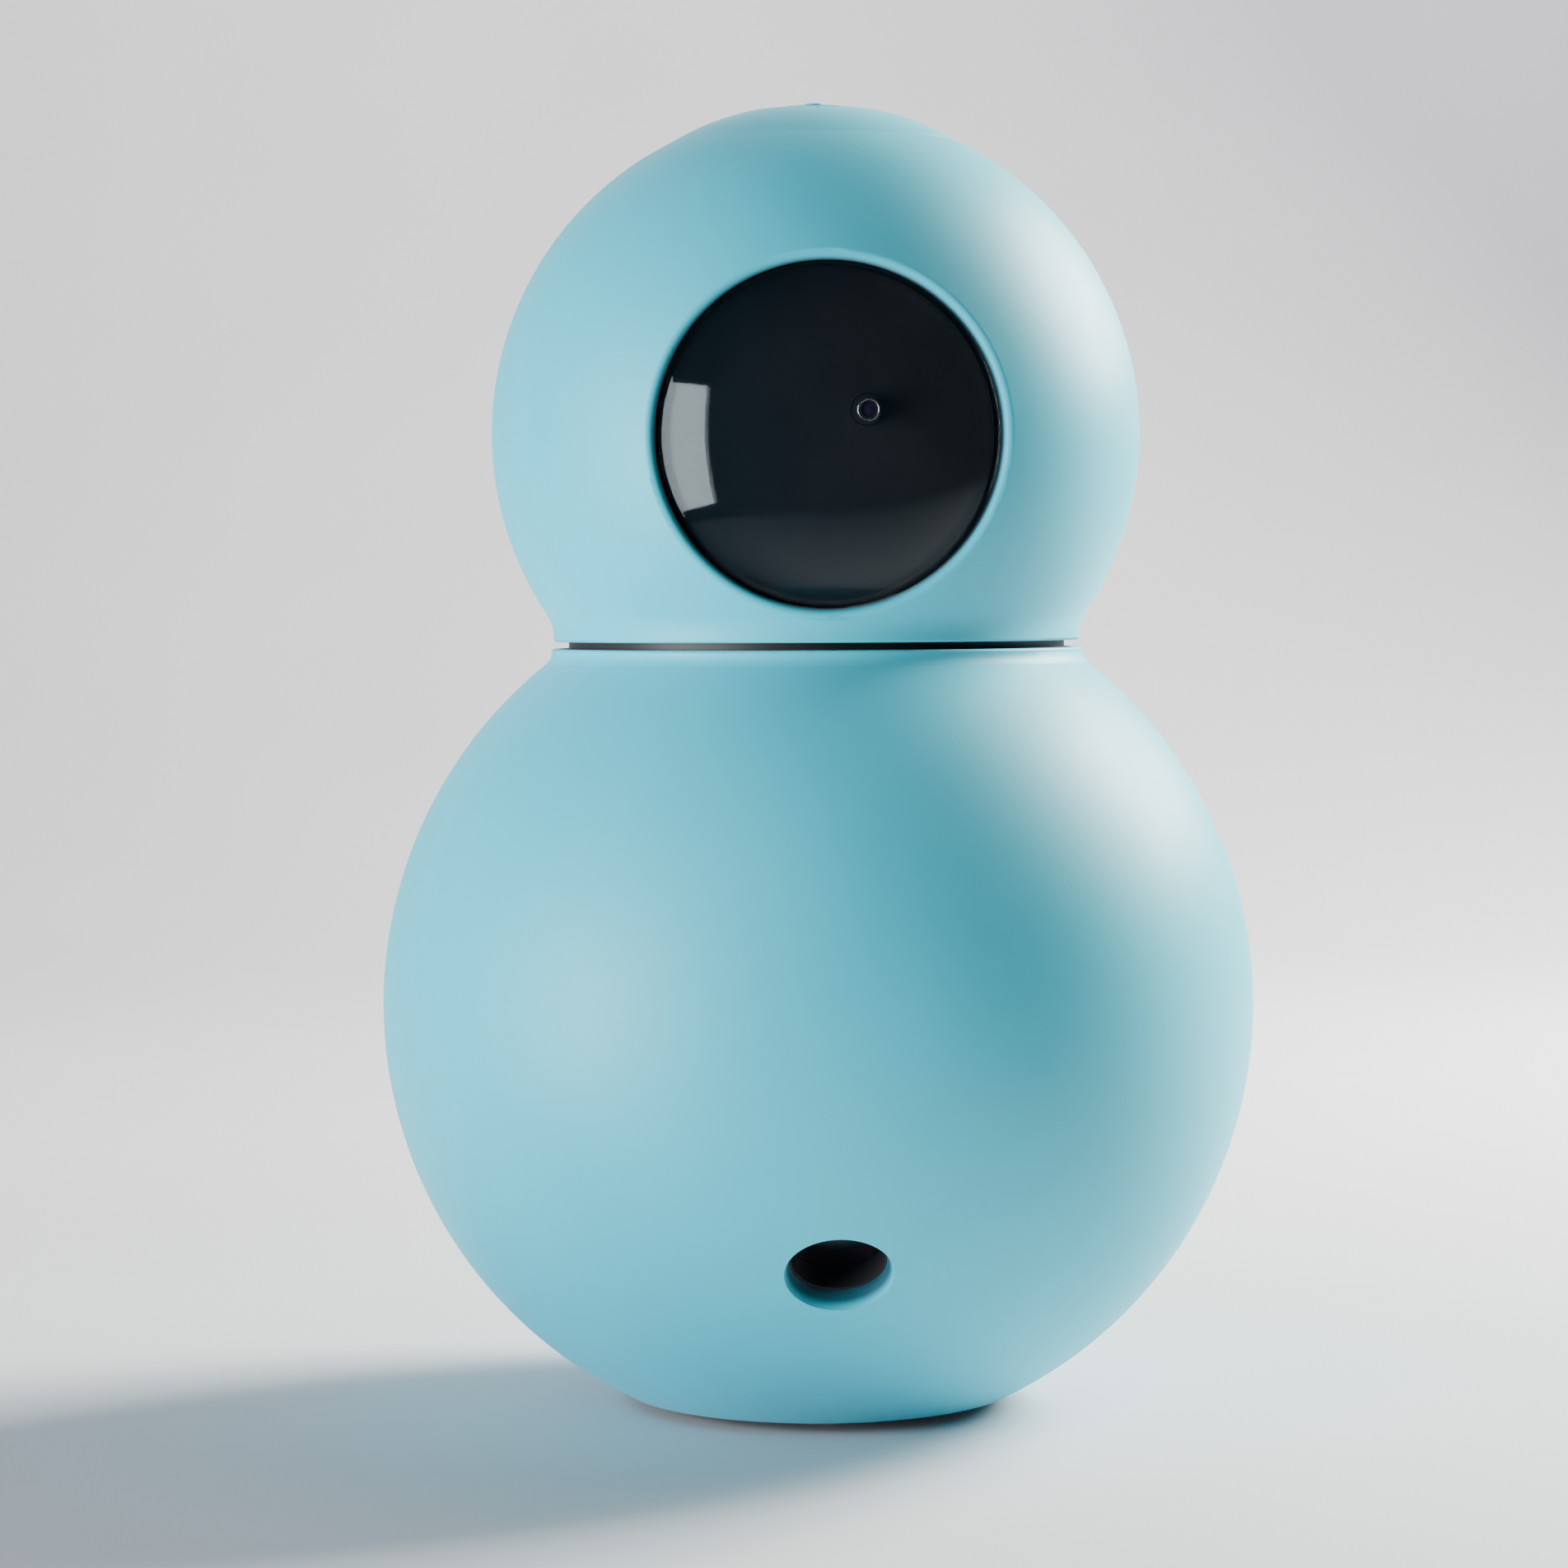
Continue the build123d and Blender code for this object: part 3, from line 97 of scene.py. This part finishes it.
def place(tree, scale=(1, 1, 1)):
    """Coordinates fixed to the object, in metres."""
    coords = tree.nodes.new("ShaderNodeTexCoord")
    mapping = tree.nodes.new("ShaderNodeMapping")
    mapping.inputs["Scale"].default_value = scale
    tree.links.new(coords.outputs["Object"], mapping.inputs["Vector"])
    return mapping.outputs["Vector"]


def noise(tree, where, scale, detail=3.0, roughness=0.5):
    """Cloudy pattern; scale is in waves per metre."""
    node = tree.nodes.new("ShaderNodeTexNoise")
    node.inputs["Scale"].default_value = scale
    node.inputs["Detail"].default_value = detail
    node.inputs["Roughness"].default_value = roughness
    tree.links.new(where, node.inputs["Vector"])
    return node.outputs["Fac"]


def ramp(tree, source, low, high, start=0.3, end=0.7):
    """Colour blend driven by a pattern."""
    node = tree.nodes.new("ShaderNodeValToRGB")
    node.color_ramp.elements[0].position = start
    node.color_ramp.elements[1].position = end
    node.color_ramp.elements[0].color = (*low, 1)
    node.color_ramp.elements[1].color = (*high, 1)
    tree.links.new(source, node.inputs["Fac"])
    return node.outputs["Color"]


def spread(tree, source, low, high):
    """Number between low and high, driven by a pattern."""
    node = tree.nodes.new("ShaderNodeMapRange")
    node.inputs["From Min"].default_value = 0.3
    node.inputs["From Max"].default_value = 0.7
    node.inputs["To Min"].default_value = low
    node.inputs["To Max"].default_value = high
    tree.links.new(source, node.inputs["Value"])
    return node.outputs["Result"]


def bump(tree, shader, source, strength, depth):
    """Fine relief on a shader; depth in metres."""
    node = tree.nodes.new("ShaderNodeBump")
    node.inputs["Strength"].default_value = strength
    node.inputs["Distance"].default_value = depth
    tree.links.new(source, node.inputs["Height"])
    tree.links.new(node.outputs["Normal"], shader.inputs["Normal"])


def moulded(name, low, high, rough, grain=900.0, relief=0.25, depth=0.00004, metal=0.0):
    """Moulded plastic: slight mottling, uneven gloss and a fine grain."""
    material, tree, shader = new_material(name)
    where = place(tree)
    cloud = noise(tree, where, 30.0, 4.0)
    fine = noise(tree, where, grain, 2.0)
    tree.links.new(ramp(tree, cloud, low, high), shader.inputs["Base Color"])
    tree.links.new(spread(tree, cloud, rough[0], rough[1]), shader.inputs["Roughness"])
    shader.inputs["Metallic"].default_value = metal
    bump(tree, shader, fine, relief, depth)
    return material, shader


def parting_line(tree, shader, seam_y):
    """Darkens and sinks a hairline where the front and rear shells meet."""
    apart = tree.nodes.new("ShaderNodeSeparateXYZ")
    tree.links.new(place(tree), apart.inputs["Vector"])
    offset = tree.nodes.new("ShaderNodeMath")
    offset.operation = "SUBTRACT"
    offset.inputs[1].default_value = seam_y
    tree.links.new(apart.outputs["Y"], offset.inputs[0])
    distance = tree.nodes.new("ShaderNodeMath")
    distance.operation = "ABSOLUTE"
    tree.links.new(offset.outputs["Value"], distance.inputs[0])
    depth = tree.nodes.new("ShaderNodeMapRange")
    depth.inputs["From Min"].default_value = 0.08 * MM
    depth.inputs["From Max"].default_value = 0.26 * MM
    tree.links.new(distance.outputs["Value"], depth.inputs["Value"])
    colour = tree.nodes.new("ShaderNodeMix")
    colour.data_type = "RGBA"
    colour.inputs["A"].default_value = (0.004, 0.090, 0.125, 1)
    tree.links.new(depth.outputs["Result"], colour.inputs["Factor"])
    tree.links.new(shader.inputs["Base Color"].links[0].from_socket, colour.inputs["B"])
    tree.links.new(colour.outputs["Result"], shader.inputs["Base Color"])
    groove = tree.nodes.new("ShaderNodeBump")
    groove.inputs["Strength"].default_value = 0.6
    groove.inputs["Distance"].default_value = 0.3 * MM
    tree.links.new(shader.inputs["Normal"].links[0].from_socket, groove.inputs["Normal"])
    tree.links.new(depth.outputs["Result"], groove.inputs["Height"])
    tree.links.new(groove.outputs["Normal"], shader.inputs["Normal"])


def paint_recess_shade(tree, shader, centre_z, radius):
    """Painted shade: darker teal in the port and at edges, below the shell's outer surface, for the
    shade in these recesses.
    """
    offset = tree.nodes.new("ShaderNodeVectorMath")
    offset.operation = "DISTANCE"
    offset.inputs[1].default_value = (0, 0, centre_z)
    tree.links.new(place(tree), offset.inputs[0])
    shade_falloff = tree.nodes.new("ShaderNodeMapRange")
    shade_falloff.interpolation_type = "SMOOTHSTEP"
    shade_falloff.inputs["From Min"].default_value = radius - SHADE_REACH
    shade_falloff.inputs["From Max"].default_value = radius - SHADE_FULL
    tree.links.new(offset.outputs["Value"], shade_falloff.inputs["Value"])
    # Painted shade: dark teal mixed in below the outer surface, where the port and edges fall into
    # shade.
    colour = tree.nodes.new("ShaderNodeMix")
    colour.data_type = "RGBA"
    colour.inputs["A"].default_value = (0.006, 0.085, 0.125, 1)
    tree.links.new(shade_falloff.outputs["Result"], colour.inputs["Factor"])
    tree.links.new(shader.inputs["Base Color"].links[0].from_socket, colour.inputs["B"])
    tree.links.new(colour.outputs["Result"], shader.inputs["Base Color"])


def shell_paint(name, seam_y=None, ball=None):
    """Soft-touch pale blue paint: matt, with a velvety sheen, and on a ball's shells a seam and
    painted shade in recesses.
    """
    material, shader = moulded(
        name, (0.020, 0.540, 0.700), (0.025, 0.560, 0.725), (0.45, 0.52),
        grain=2600.0, relief=0.16, depth=0.00003,
    )
    shader.inputs["Sheen Weight"].default_value = 0.13
    shader.inputs["Sheen Roughness"].default_value = 0.55
    shader.inputs["Sheen Tint"].default_value = (0.75, 0.93, 1.0, 1)
    shader.inputs["Specular IOR Level"].default_value = 0.40
    if seam_y is not None:
        paint_recess_shade(material.node_tree, shader, ball[0], ball[1])
        parting_line(material.node_tree, shader, seam_y)
    return material


def dome_gloss():
    """Polished black, slightly see-through dome."""
    material, tree, shader = new_material("smoked_dome")
    where = place(tree)
    smear = noise(tree, where, 22.0, 5.0, 0.6)
    dust = noise(tree, where, 420.0, 2.0, 0.4)
    tree.links.new(
        ramp(tree, smear, (0.0045, 0.0105, 0.0165), (0.0065, 0.0140, 0.0215)),
        shader.inputs["Base Color"],
    )
    tree.links.new(spread(tree, smear, 0.035, 0.075), shader.inputs["Roughness"])
    shader.inputs["IOR"].default_value = 1.5
    shader.inputs["Alpha"].default_value = 0.32
    shader.inputs["Specular IOR Level"].default_value = 0.60
    shader.inputs["Specular Tint"].default_value = (0.84, 0.96, 1.0, 1)
    bump(tree, shader, dust, 0.010, 0.00001)
    return material


def dark_plastic():
    """Near-black moulded plastic with a fine grain."""
    return moulded(
        "dark_plastic", (0.012, 0.013, 0.016), (0.020, 0.021, 0.025), (0.42, 0.60), grain=1600.0
    )[0]


def smoked_window():
    """Glossy near-black window in the front port."""
    return moulded(
        "smoked_window", (0.004, 0.004, 0.007), (0.007, 0.006, 0.011), (0.05, 0.12),
        relief=0.04, depth=0.00001,
    )[0]


def paper_cone():
    """Pressed black paper with fibres."""
    material, tree, shader = new_material("paper_cone")
    fibre = noise(tree, place(tree, (1, 1, 4)), 1400.0, 6.0, 0.7)
    tree.links.new(ramp(tree, fibre, (0.012, 0.012, 0.012), (0.05, 0.048, 0.046)),
                   shader.inputs["Base Color"])
    tree.links.new(spread(tree, fibre, 0.75, 0.95), shader.inputs["Roughness"])
    bump(tree, shader, fibre, 0.5, 0.0001)
    return material


def circuit_board():
    """Green solder mask with faint copper tracks."""
    material, tree, shader = new_material("circuit_board")
    where = place(tree)
    tracks = tree.nodes.new("ShaderNodeTexBrick")
    tracks.inputs["Scale"].default_value = 260.0
    tracks.inputs["Mortar Size"].default_value = 0.03
    tracks.inputs["Color1"].default_value = (0.010, 0.105, 0.045, 1)
    tracks.inputs["Color2"].default_value = (0.013, 0.130, 0.060, 1)
    tracks.inputs["Mortar"].default_value = (0.10, 0.23, 0.10, 1)
    tree.links.new(where, tracks.inputs["Vector"])
    tree.links.new(tracks.outputs["Color"], shader.inputs["Base Color"])
    tree.links.new(spread(tree, tracks.outputs["Fac"], 0.30, 0.45), shader.inputs["Roughness"])
    bump(tree, shader, tracks.outputs["Fac"], 0.3, 0.00005)
    return material


def brushed(name, low, high, rough, stretch):
    """Metal with fine lines along one direction."""
    material, tree, shader = new_material(name)
    lines = noise(tree, place(tree, stretch), 900.0, 4.0, 0.6)
    tree.links.new(ramp(tree, lines, low, high), shader.inputs["Base Color"])
    tree.links.new(spread(tree, lines, rough[0], rough[1]), shader.inputs["Roughness"])
    shader.inputs["Metallic"].default_value = 1.0
    bump(tree, shader, lines, 0.15, 0.00002)
    return material


def lens_glass():
    """Coated lens: near black with a violet cast."""
    material, shader = moulded(
        "coated_lens", (0.030, 0.016, 0.070), (0.055, 0.030, 0.120), (0.02, 0.06),
        relief=0.02, depth=0.00001,
    )
    shader.inputs["Coat Weight"].default_value = 0.8
    shader.inputs["Coat Roughness"].default_value = 0.03
    return material


def cell_wrap():
    """Blue shrink film on the battery cells."""
    return moulded(
        "cell_wrap", (0.020, 0.060, 0.190), (0.028, 0.080, 0.230), (0.22, 0.34), grain=500.0
    )[0]


def nylon():
    """Off-white nylon that lets a little light in."""
    material, shader = moulded(
        "gear_nylon", (0.60, 0.58, 0.52), (0.68, 0.66, 0.60), (0.35, 0.48), grain=1200.0
    )
    shader.inputs["Subsurface Weight"].default_value = 0.05
    shader.inputs["Subsurface Radius"].default_value = (0.001, 0.001, 0.001)
    return material


def wheel_plastic():
    """Dark grey moulded wheel hub."""
    return moulded(
        "wheel_plastic", (0.055, 0.058, 0.066), (0.075, 0.078, 0.088), (0.38, 0.52), grain=1400.0
    )[0]


def tyre_rubber():
    """Dusty black rubber with a coarse grain."""
    material, tree, shader = new_material("tyre_rubber")
    where = place(tree)
    dust = noise(tree, where, 90.0, 6.0, 0.65)
    grain = noise(tree, where, 1800.0, 3.0)
    tree.links.new(ramp(tree, dust, (0.010, 0.010, 0.011), (0.034, 0.033, 0.032)),
                   shader.inputs["Base Color"])
    tree.links.new(spread(tree, dust, 0.68, 0.88), shader.inputs["Roughness"])
    bump(tree, shader, grain, 0.4, 0.00008)
    return material


def lens_ring():
    """Bright turned ring round the lens."""
    return brushed("lens_rim", (0.74, 0.74, 0.80), (0.88, 0.88, 0.94), (0.22, 0.32), (1, 1, 1))


MATERIALS = {
    "shell": shell_paint("soft_touch_blue"),
    "face_black": dome_gloss(),
    "dark_plastic": dark_plastic(),
    "smoked_window": smoked_window(),
    "paper_cone": paper_cone(),
    "circuit_board": circuit_board(),
    "steel": brushed(
        "brushed_steel", (0.42, 0.42, 0.44), (0.62, 0.62, 0.64), (0.24, 0.40), (6, 1, 1)
    ),
    "bright_steel": brushed(
        "ball_steel", (0.62, 0.62, 0.64), (0.74, 0.74, 0.76), (0.06, 0.14), (1, 1, 1)
    ),
    "brass": brushed(
        "contact_brass", (0.62, 0.42, 0.13), (0.78, 0.56, 0.22), (0.18, 0.34), (1, 5, 1)
    ),
    "lens_glass": lens_glass(),
    "cell_wrap": cell_wrap(),
    "gear_nylon": nylon(),
    "wheel_plastic": wheel_plastic(),
    "tyre": tyre_rubber(),
}


def dress(obj, material):
    """Puts one material on the whole of an object."""
    if not obj.data.materials:
        obj.data.materials.append(material)
    for slot in obj.material_slots:
        slot.material = material


for name, obj in nodes.items():
    dress(obj, MATERIALS[slot_of[name]])

for part in ("body", "head"):
    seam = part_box(part + "_rear_shell")[0][1]
    paint = shell_paint("soft_touch_blue_" + part, seam, BALLS[part])
    dress(nodes[part + "_front_shell"], paint)
    dress(nodes[part + "_rear_shell"], paint)


# --------------------------------------------------------- new visual pieces
def face_matrix():
    """Frame of the face: Z along its axis, X to the right, origin at the head centre."""
    forward = Vector((0, -math.cos(FACE_TILT), -math.sin(FACE_TILT)))
    right = Vector((1, 0, 0))
    up = forward.cross(right)
    matrix = Matrix((right, up, forward)).transposed().to_4x4()
    matrix.translation = Vector((0, 0, HEAD_Z))
    return matrix


def lathe(name, outline, matrix, steps=192, centre=(0, 0)):
    """Closed ring or bowl swept round an axis from (radius, height) points in mm."""
    mesh = bpy.data.meshes.new(name)
    bm = bmesh.new()
    rings = []
    for radius, height in outline:
        if radius < 1e-6:
            rings.append([bm.verts.new((centre[0] * MM, centre[1] * MM, height * MM))])
            continue
        ring = []
        for step in range(steps):
            turn = 2 * math.pi * step / steps
            x = centre[0] + radius * math.cos(turn)
            y = centre[1] + radius * math.sin(turn)
            ring.append(bm.verts.new((x * MM, y * MM, height * MM)))
        rings.append(ring)
    pairs = list(zip(rings, rings[1:]))
    if len(rings[0]) > 1 and len(rings[-1]) > 1:
        pairs.append((rings[-1], rings[0]))
    for low, high in pairs:
        for step in range(steps):
            after = (step + 1) % steps
            if len(low) == 1:
                bm.faces.new((low[0], high[after], high[step]))
            elif len(high) == 1:
                bm.faces.new((low[step], low[after], high[0]))
            else:
                bm.faces.new((low[step], low[after], high[after], high[step]))
    bmesh.ops.recalc_face_normals(bm, faces=bm.faces)
    bm.to_mesh(mesh)
    bm.free()
    mesh.transform(matrix)
    for polygon in mesh.polygons:
        polygon.use_smooth = True
    obj = bpy.data.objects.new(name, mesh)
    bpy.context.scene.collection.objects.link(obj)
    return obj


def cap_outline(curve, crown, rim, count):
    """Points of a spherical cap from its crown to a rim radius."""
    reach = math.asin(rim / curve)
    points = []
    for step in range(count + 1):
        angle = reach * step / count
        points.append((curve * math.sin(angle), crown - curve + curve * math.cos(angle)))
    return points


def build_dome():
    """The black dome: polished cap, rounded rim and the skirt behind it."""
    outer = cap_outline(DOME_CURVE, DOME_CROWN, DOME_RIM - DOME_BEVEL, 40)
    edge = outer[-1][1]
    rounding = []
    for step in range(1, 7):
        turn = math.radians(90 * step / 6)
        rounding.append((
            DOME_RIM - DOME_BEVEL + DOME_BEVEL * math.sin(turn),
            edge - DOME_BEVEL_DEPTH + DOME_BEVEL_DEPTH * math.cos(turn),
        ))
    skirt = [(DOME_RIM, DOME_SKIRT), (DOME_RIM - DOME_WALL, DOME_SKIRT)]
    inner = cap_outline(DOME_CURVE - DOME_WALL, DOME_CROWN - DOME_WALL, DOME_RIM - DOME_WALL, 32)
    outline = outer + rounding + skirt + list(reversed(inner))
    return lathe("face_dome_skin", outline, face_matrix(), 256)


dome = build_dome()
dress(dome, MATERIALS["face_black"])
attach(dome, "head")
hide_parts("face_dome")


def build_lens_ring():
    """Thin bright ring round the lens, on the front of the barrel."""
    outline = []
    for step in range(16):
        turn = 2 * math.pi * step / 16
        outline.append((
            RING_RADIUS + RING_THICKNESS * math.cos(turn),
            RING_DEPTH + RING_THICKNESS * math.sin(turn),
        ))
    return lathe("lens_ring", outline, face_matrix(), 96, (LENS_X, LENS_V))


ring = build_lens_ring()
dress(ring, lens_ring())
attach(ring, "head")


# -------------------------------------------------------------------- stage
def stage_material():
    """Pale matt board with a faint unevenness, with painted shade from well in front of the robot
    that the dome reflects.
    """
    material, tree, shader = new_material("pale_board")
    cloud = noise(tree, place(tree), 5.0, 3.0)
    paper = ramp(tree, cloud, (0.71, 0.70, 0.735), (0.74, 0.73, 0.765))
    apart = tree.nodes.new("ShaderNodeSeparateXYZ")
    tree.links.new(place(tree), apart.inputs["Vector"])
    near = tree.nodes.new("ShaderNodeMapRange")
    near.inputs["From Min"].default_value = DARK_FULL
    near.inputs["From Max"].default_value = DARK_FROM
    tree.links.new(apart.outputs["Y"], near.inputs["Value"])
    # Painted shade: the floor in front of the robot is darkened to stand in for the dark room that
    # the dome reflects.
    reflection_shade = tree.nodes.new("ShaderNodeMix")
    reflection_shade.data_type = "RGBA"
    reflection_shade.inputs["A"].default_value = (0.12, 0.14, 0.17, 1)
    tree.links.new(near.outputs["Result"], reflection_shade.inputs["Factor"])
    tree.links.new(paper, reflection_shade.inputs["B"])
    tree.links.new(reflection_shade.outputs["Result"], shader.inputs["Base Color"])
    shader.inputs["Roughness"].default_value = 0.75
    shader.inputs["Specular IOR Level"].default_value = 0.25
    return material


def build_floor():
    """Table top with a rounded near corner that sweeps up into a backdrop far behind."""
    table_reach, far_side, bend_start, bend_radius, top = 0.42, 3.2, 1.1, 0.9, 2.6
    profile = [(bend_start, 0.0)]
    for step in range(1, 25):
        turn = math.radians(90 * step / 24)
        profile.append((
            bend_start + bend_radius * math.sin(turn), bend_radius * (1 - math.cos(turn)),
        ))
    profile.append((bend_start + bend_radius, top))
    mesh = bpy.data.meshes.new("floor")
    bm = bmesh.new()
    rows = [[bm.verts.new((x, y, z)) for x in (-far_side, far_side)] for y, z in profile]
    for low, high in zip(rows, rows[1:]):
        bm.faces.new((low[0], low[1], high[1], high[0]))
    edge = [(-far_side, table_reach)]
    for step in range(25):
        turn = math.radians(180 + 90 * step / 24)
        edge.append((table_reach * math.cos(turn), table_reach * math.sin(turn)))
    edge.append((far_side, -table_reach))
    table = [bm.verts.new((x, y, 0)) for x, y in edge]
    bm.faces.new(table + [rows[0][1], rows[0][0]])
    bm.to_mesh(mesh)
    bm.free()
    for polygon in mesh.polygons:
        polygon.use_smooth = True
    obj = bpy.data.objects.new("floor", mesh)
    bpy.context.scene.collection.objects.link(obj)
    return obj


floor = build_floor()
dress(floor, stage_material())


# ------------------------------------------------------------------- lights
def area_light(name, where, target, width, height, power, colour=(1, 1, 1)):
    """Soft rectangular light aimed at a point."""
    data = bpy.data.lights.new(name, "AREA")
    data.shape = "RECTANGLE"
    data.size = width
    data.size_y = height
    data.energy = power
    data.color = colour
    obj = bpy.data.objects.new(name, data)
    aim = Vector(target) - Vector(where)
    turn = aim.to_track_quat("-Z", "Y").to_matrix().to_4x4()
    obj.matrix_world = Matrix.Translation(Vector(where)) @ turn
    bpy.context.scene.collection.objects.link(obj)


MIDDLE = (0, 0, 0.16)
area_light("key_right", (1.10, 0.66, 0.82), MIDDLE, 0.66, 0.66, 92, (0.98, 1.0, 0.92))
area_light("window_left", (-1.52, -0.86, 0.06), (0, 0, 0.06), 1.02, 1.35, 79, (0.95, 0.98, 1.0))
area_light("backdrop_wash", (0.5, 0.75, 1.6), (0.4, 2.0, 0.9), 2.8, 0.8, 25, (0.98, 0.97, 1.0))
area_light("table_wash", (1.2, 0.1, 1.5), (0.5, 0.0, 0), 1.0, 0.8, 7, (0.98, 0.97, 1.0))

world = bpy.data.worlds.new("room")
world.use_nodes = True
world.node_tree.nodes["Background"].inputs["Color"].default_value = (0.80, 0.81, 0.88, 1)
world.node_tree.nodes["Background"].inputs["Strength"].default_value = 0.023
bpy.context.scene.world = world


# ------------------------------------------------------------------- camera
CAMERA_RANGE = 0.9776
CAMERA_HEIGHT = 0.1937
CAMERA_ROUND = math.radians(2.8)
CAMERA_TURN = math.radians(-0.4703)
CAMERA_DIP = math.radians(2.5569)
CAMERA_ROLL = math.radians(-0.2820)
CAMERA_LENS = 92.4


def build_camera():
    """Camera a little above the neck, just left of straight in front."""
    data = bpy.data.cameras.new("camera")
    data.lens = CAMERA_LENS
    data.sensor_width = 36.0
    data.clip_start = 0.05
    data.clip_end = 20.0
    obj = bpy.data.objects.new("camera", data)
    heading = CAMERA_TURN + CAMERA_ROUND
    place_at = Vector((
        -CAMERA_RANGE * math.sin(CAMERA_ROUND), -CAMERA_RANGE * math.cos(CAMERA_ROUND), CAMERA_HEIGHT,
    ))
    forward = Vector((
        math.sin(heading) * math.cos(CAMERA_DIP), math.cos(heading) * math.cos(CAMERA_DIP),
        -math.sin(CAMERA_DIP),
    ))
    right = Vector((math.cos(heading), -math.sin(heading), 0))
    up = right.cross(forward)
    rolled_right = right * math.cos(CAMERA_ROLL) + up * math.sin(CAMERA_ROLL)
    rolled_up = up * math.cos(CAMERA_ROLL) - right * math.sin(CAMERA_ROLL)
    turn = Matrix((rolled_right, rolled_up, -forward)).transposed().to_4x4()
    obj.matrix_world = Matrix.Translation(place_at) @ turn
    bpy.context.scene.collection.objects.link(obj)
    return obj


bpy.context.scene.camera = build_camera()
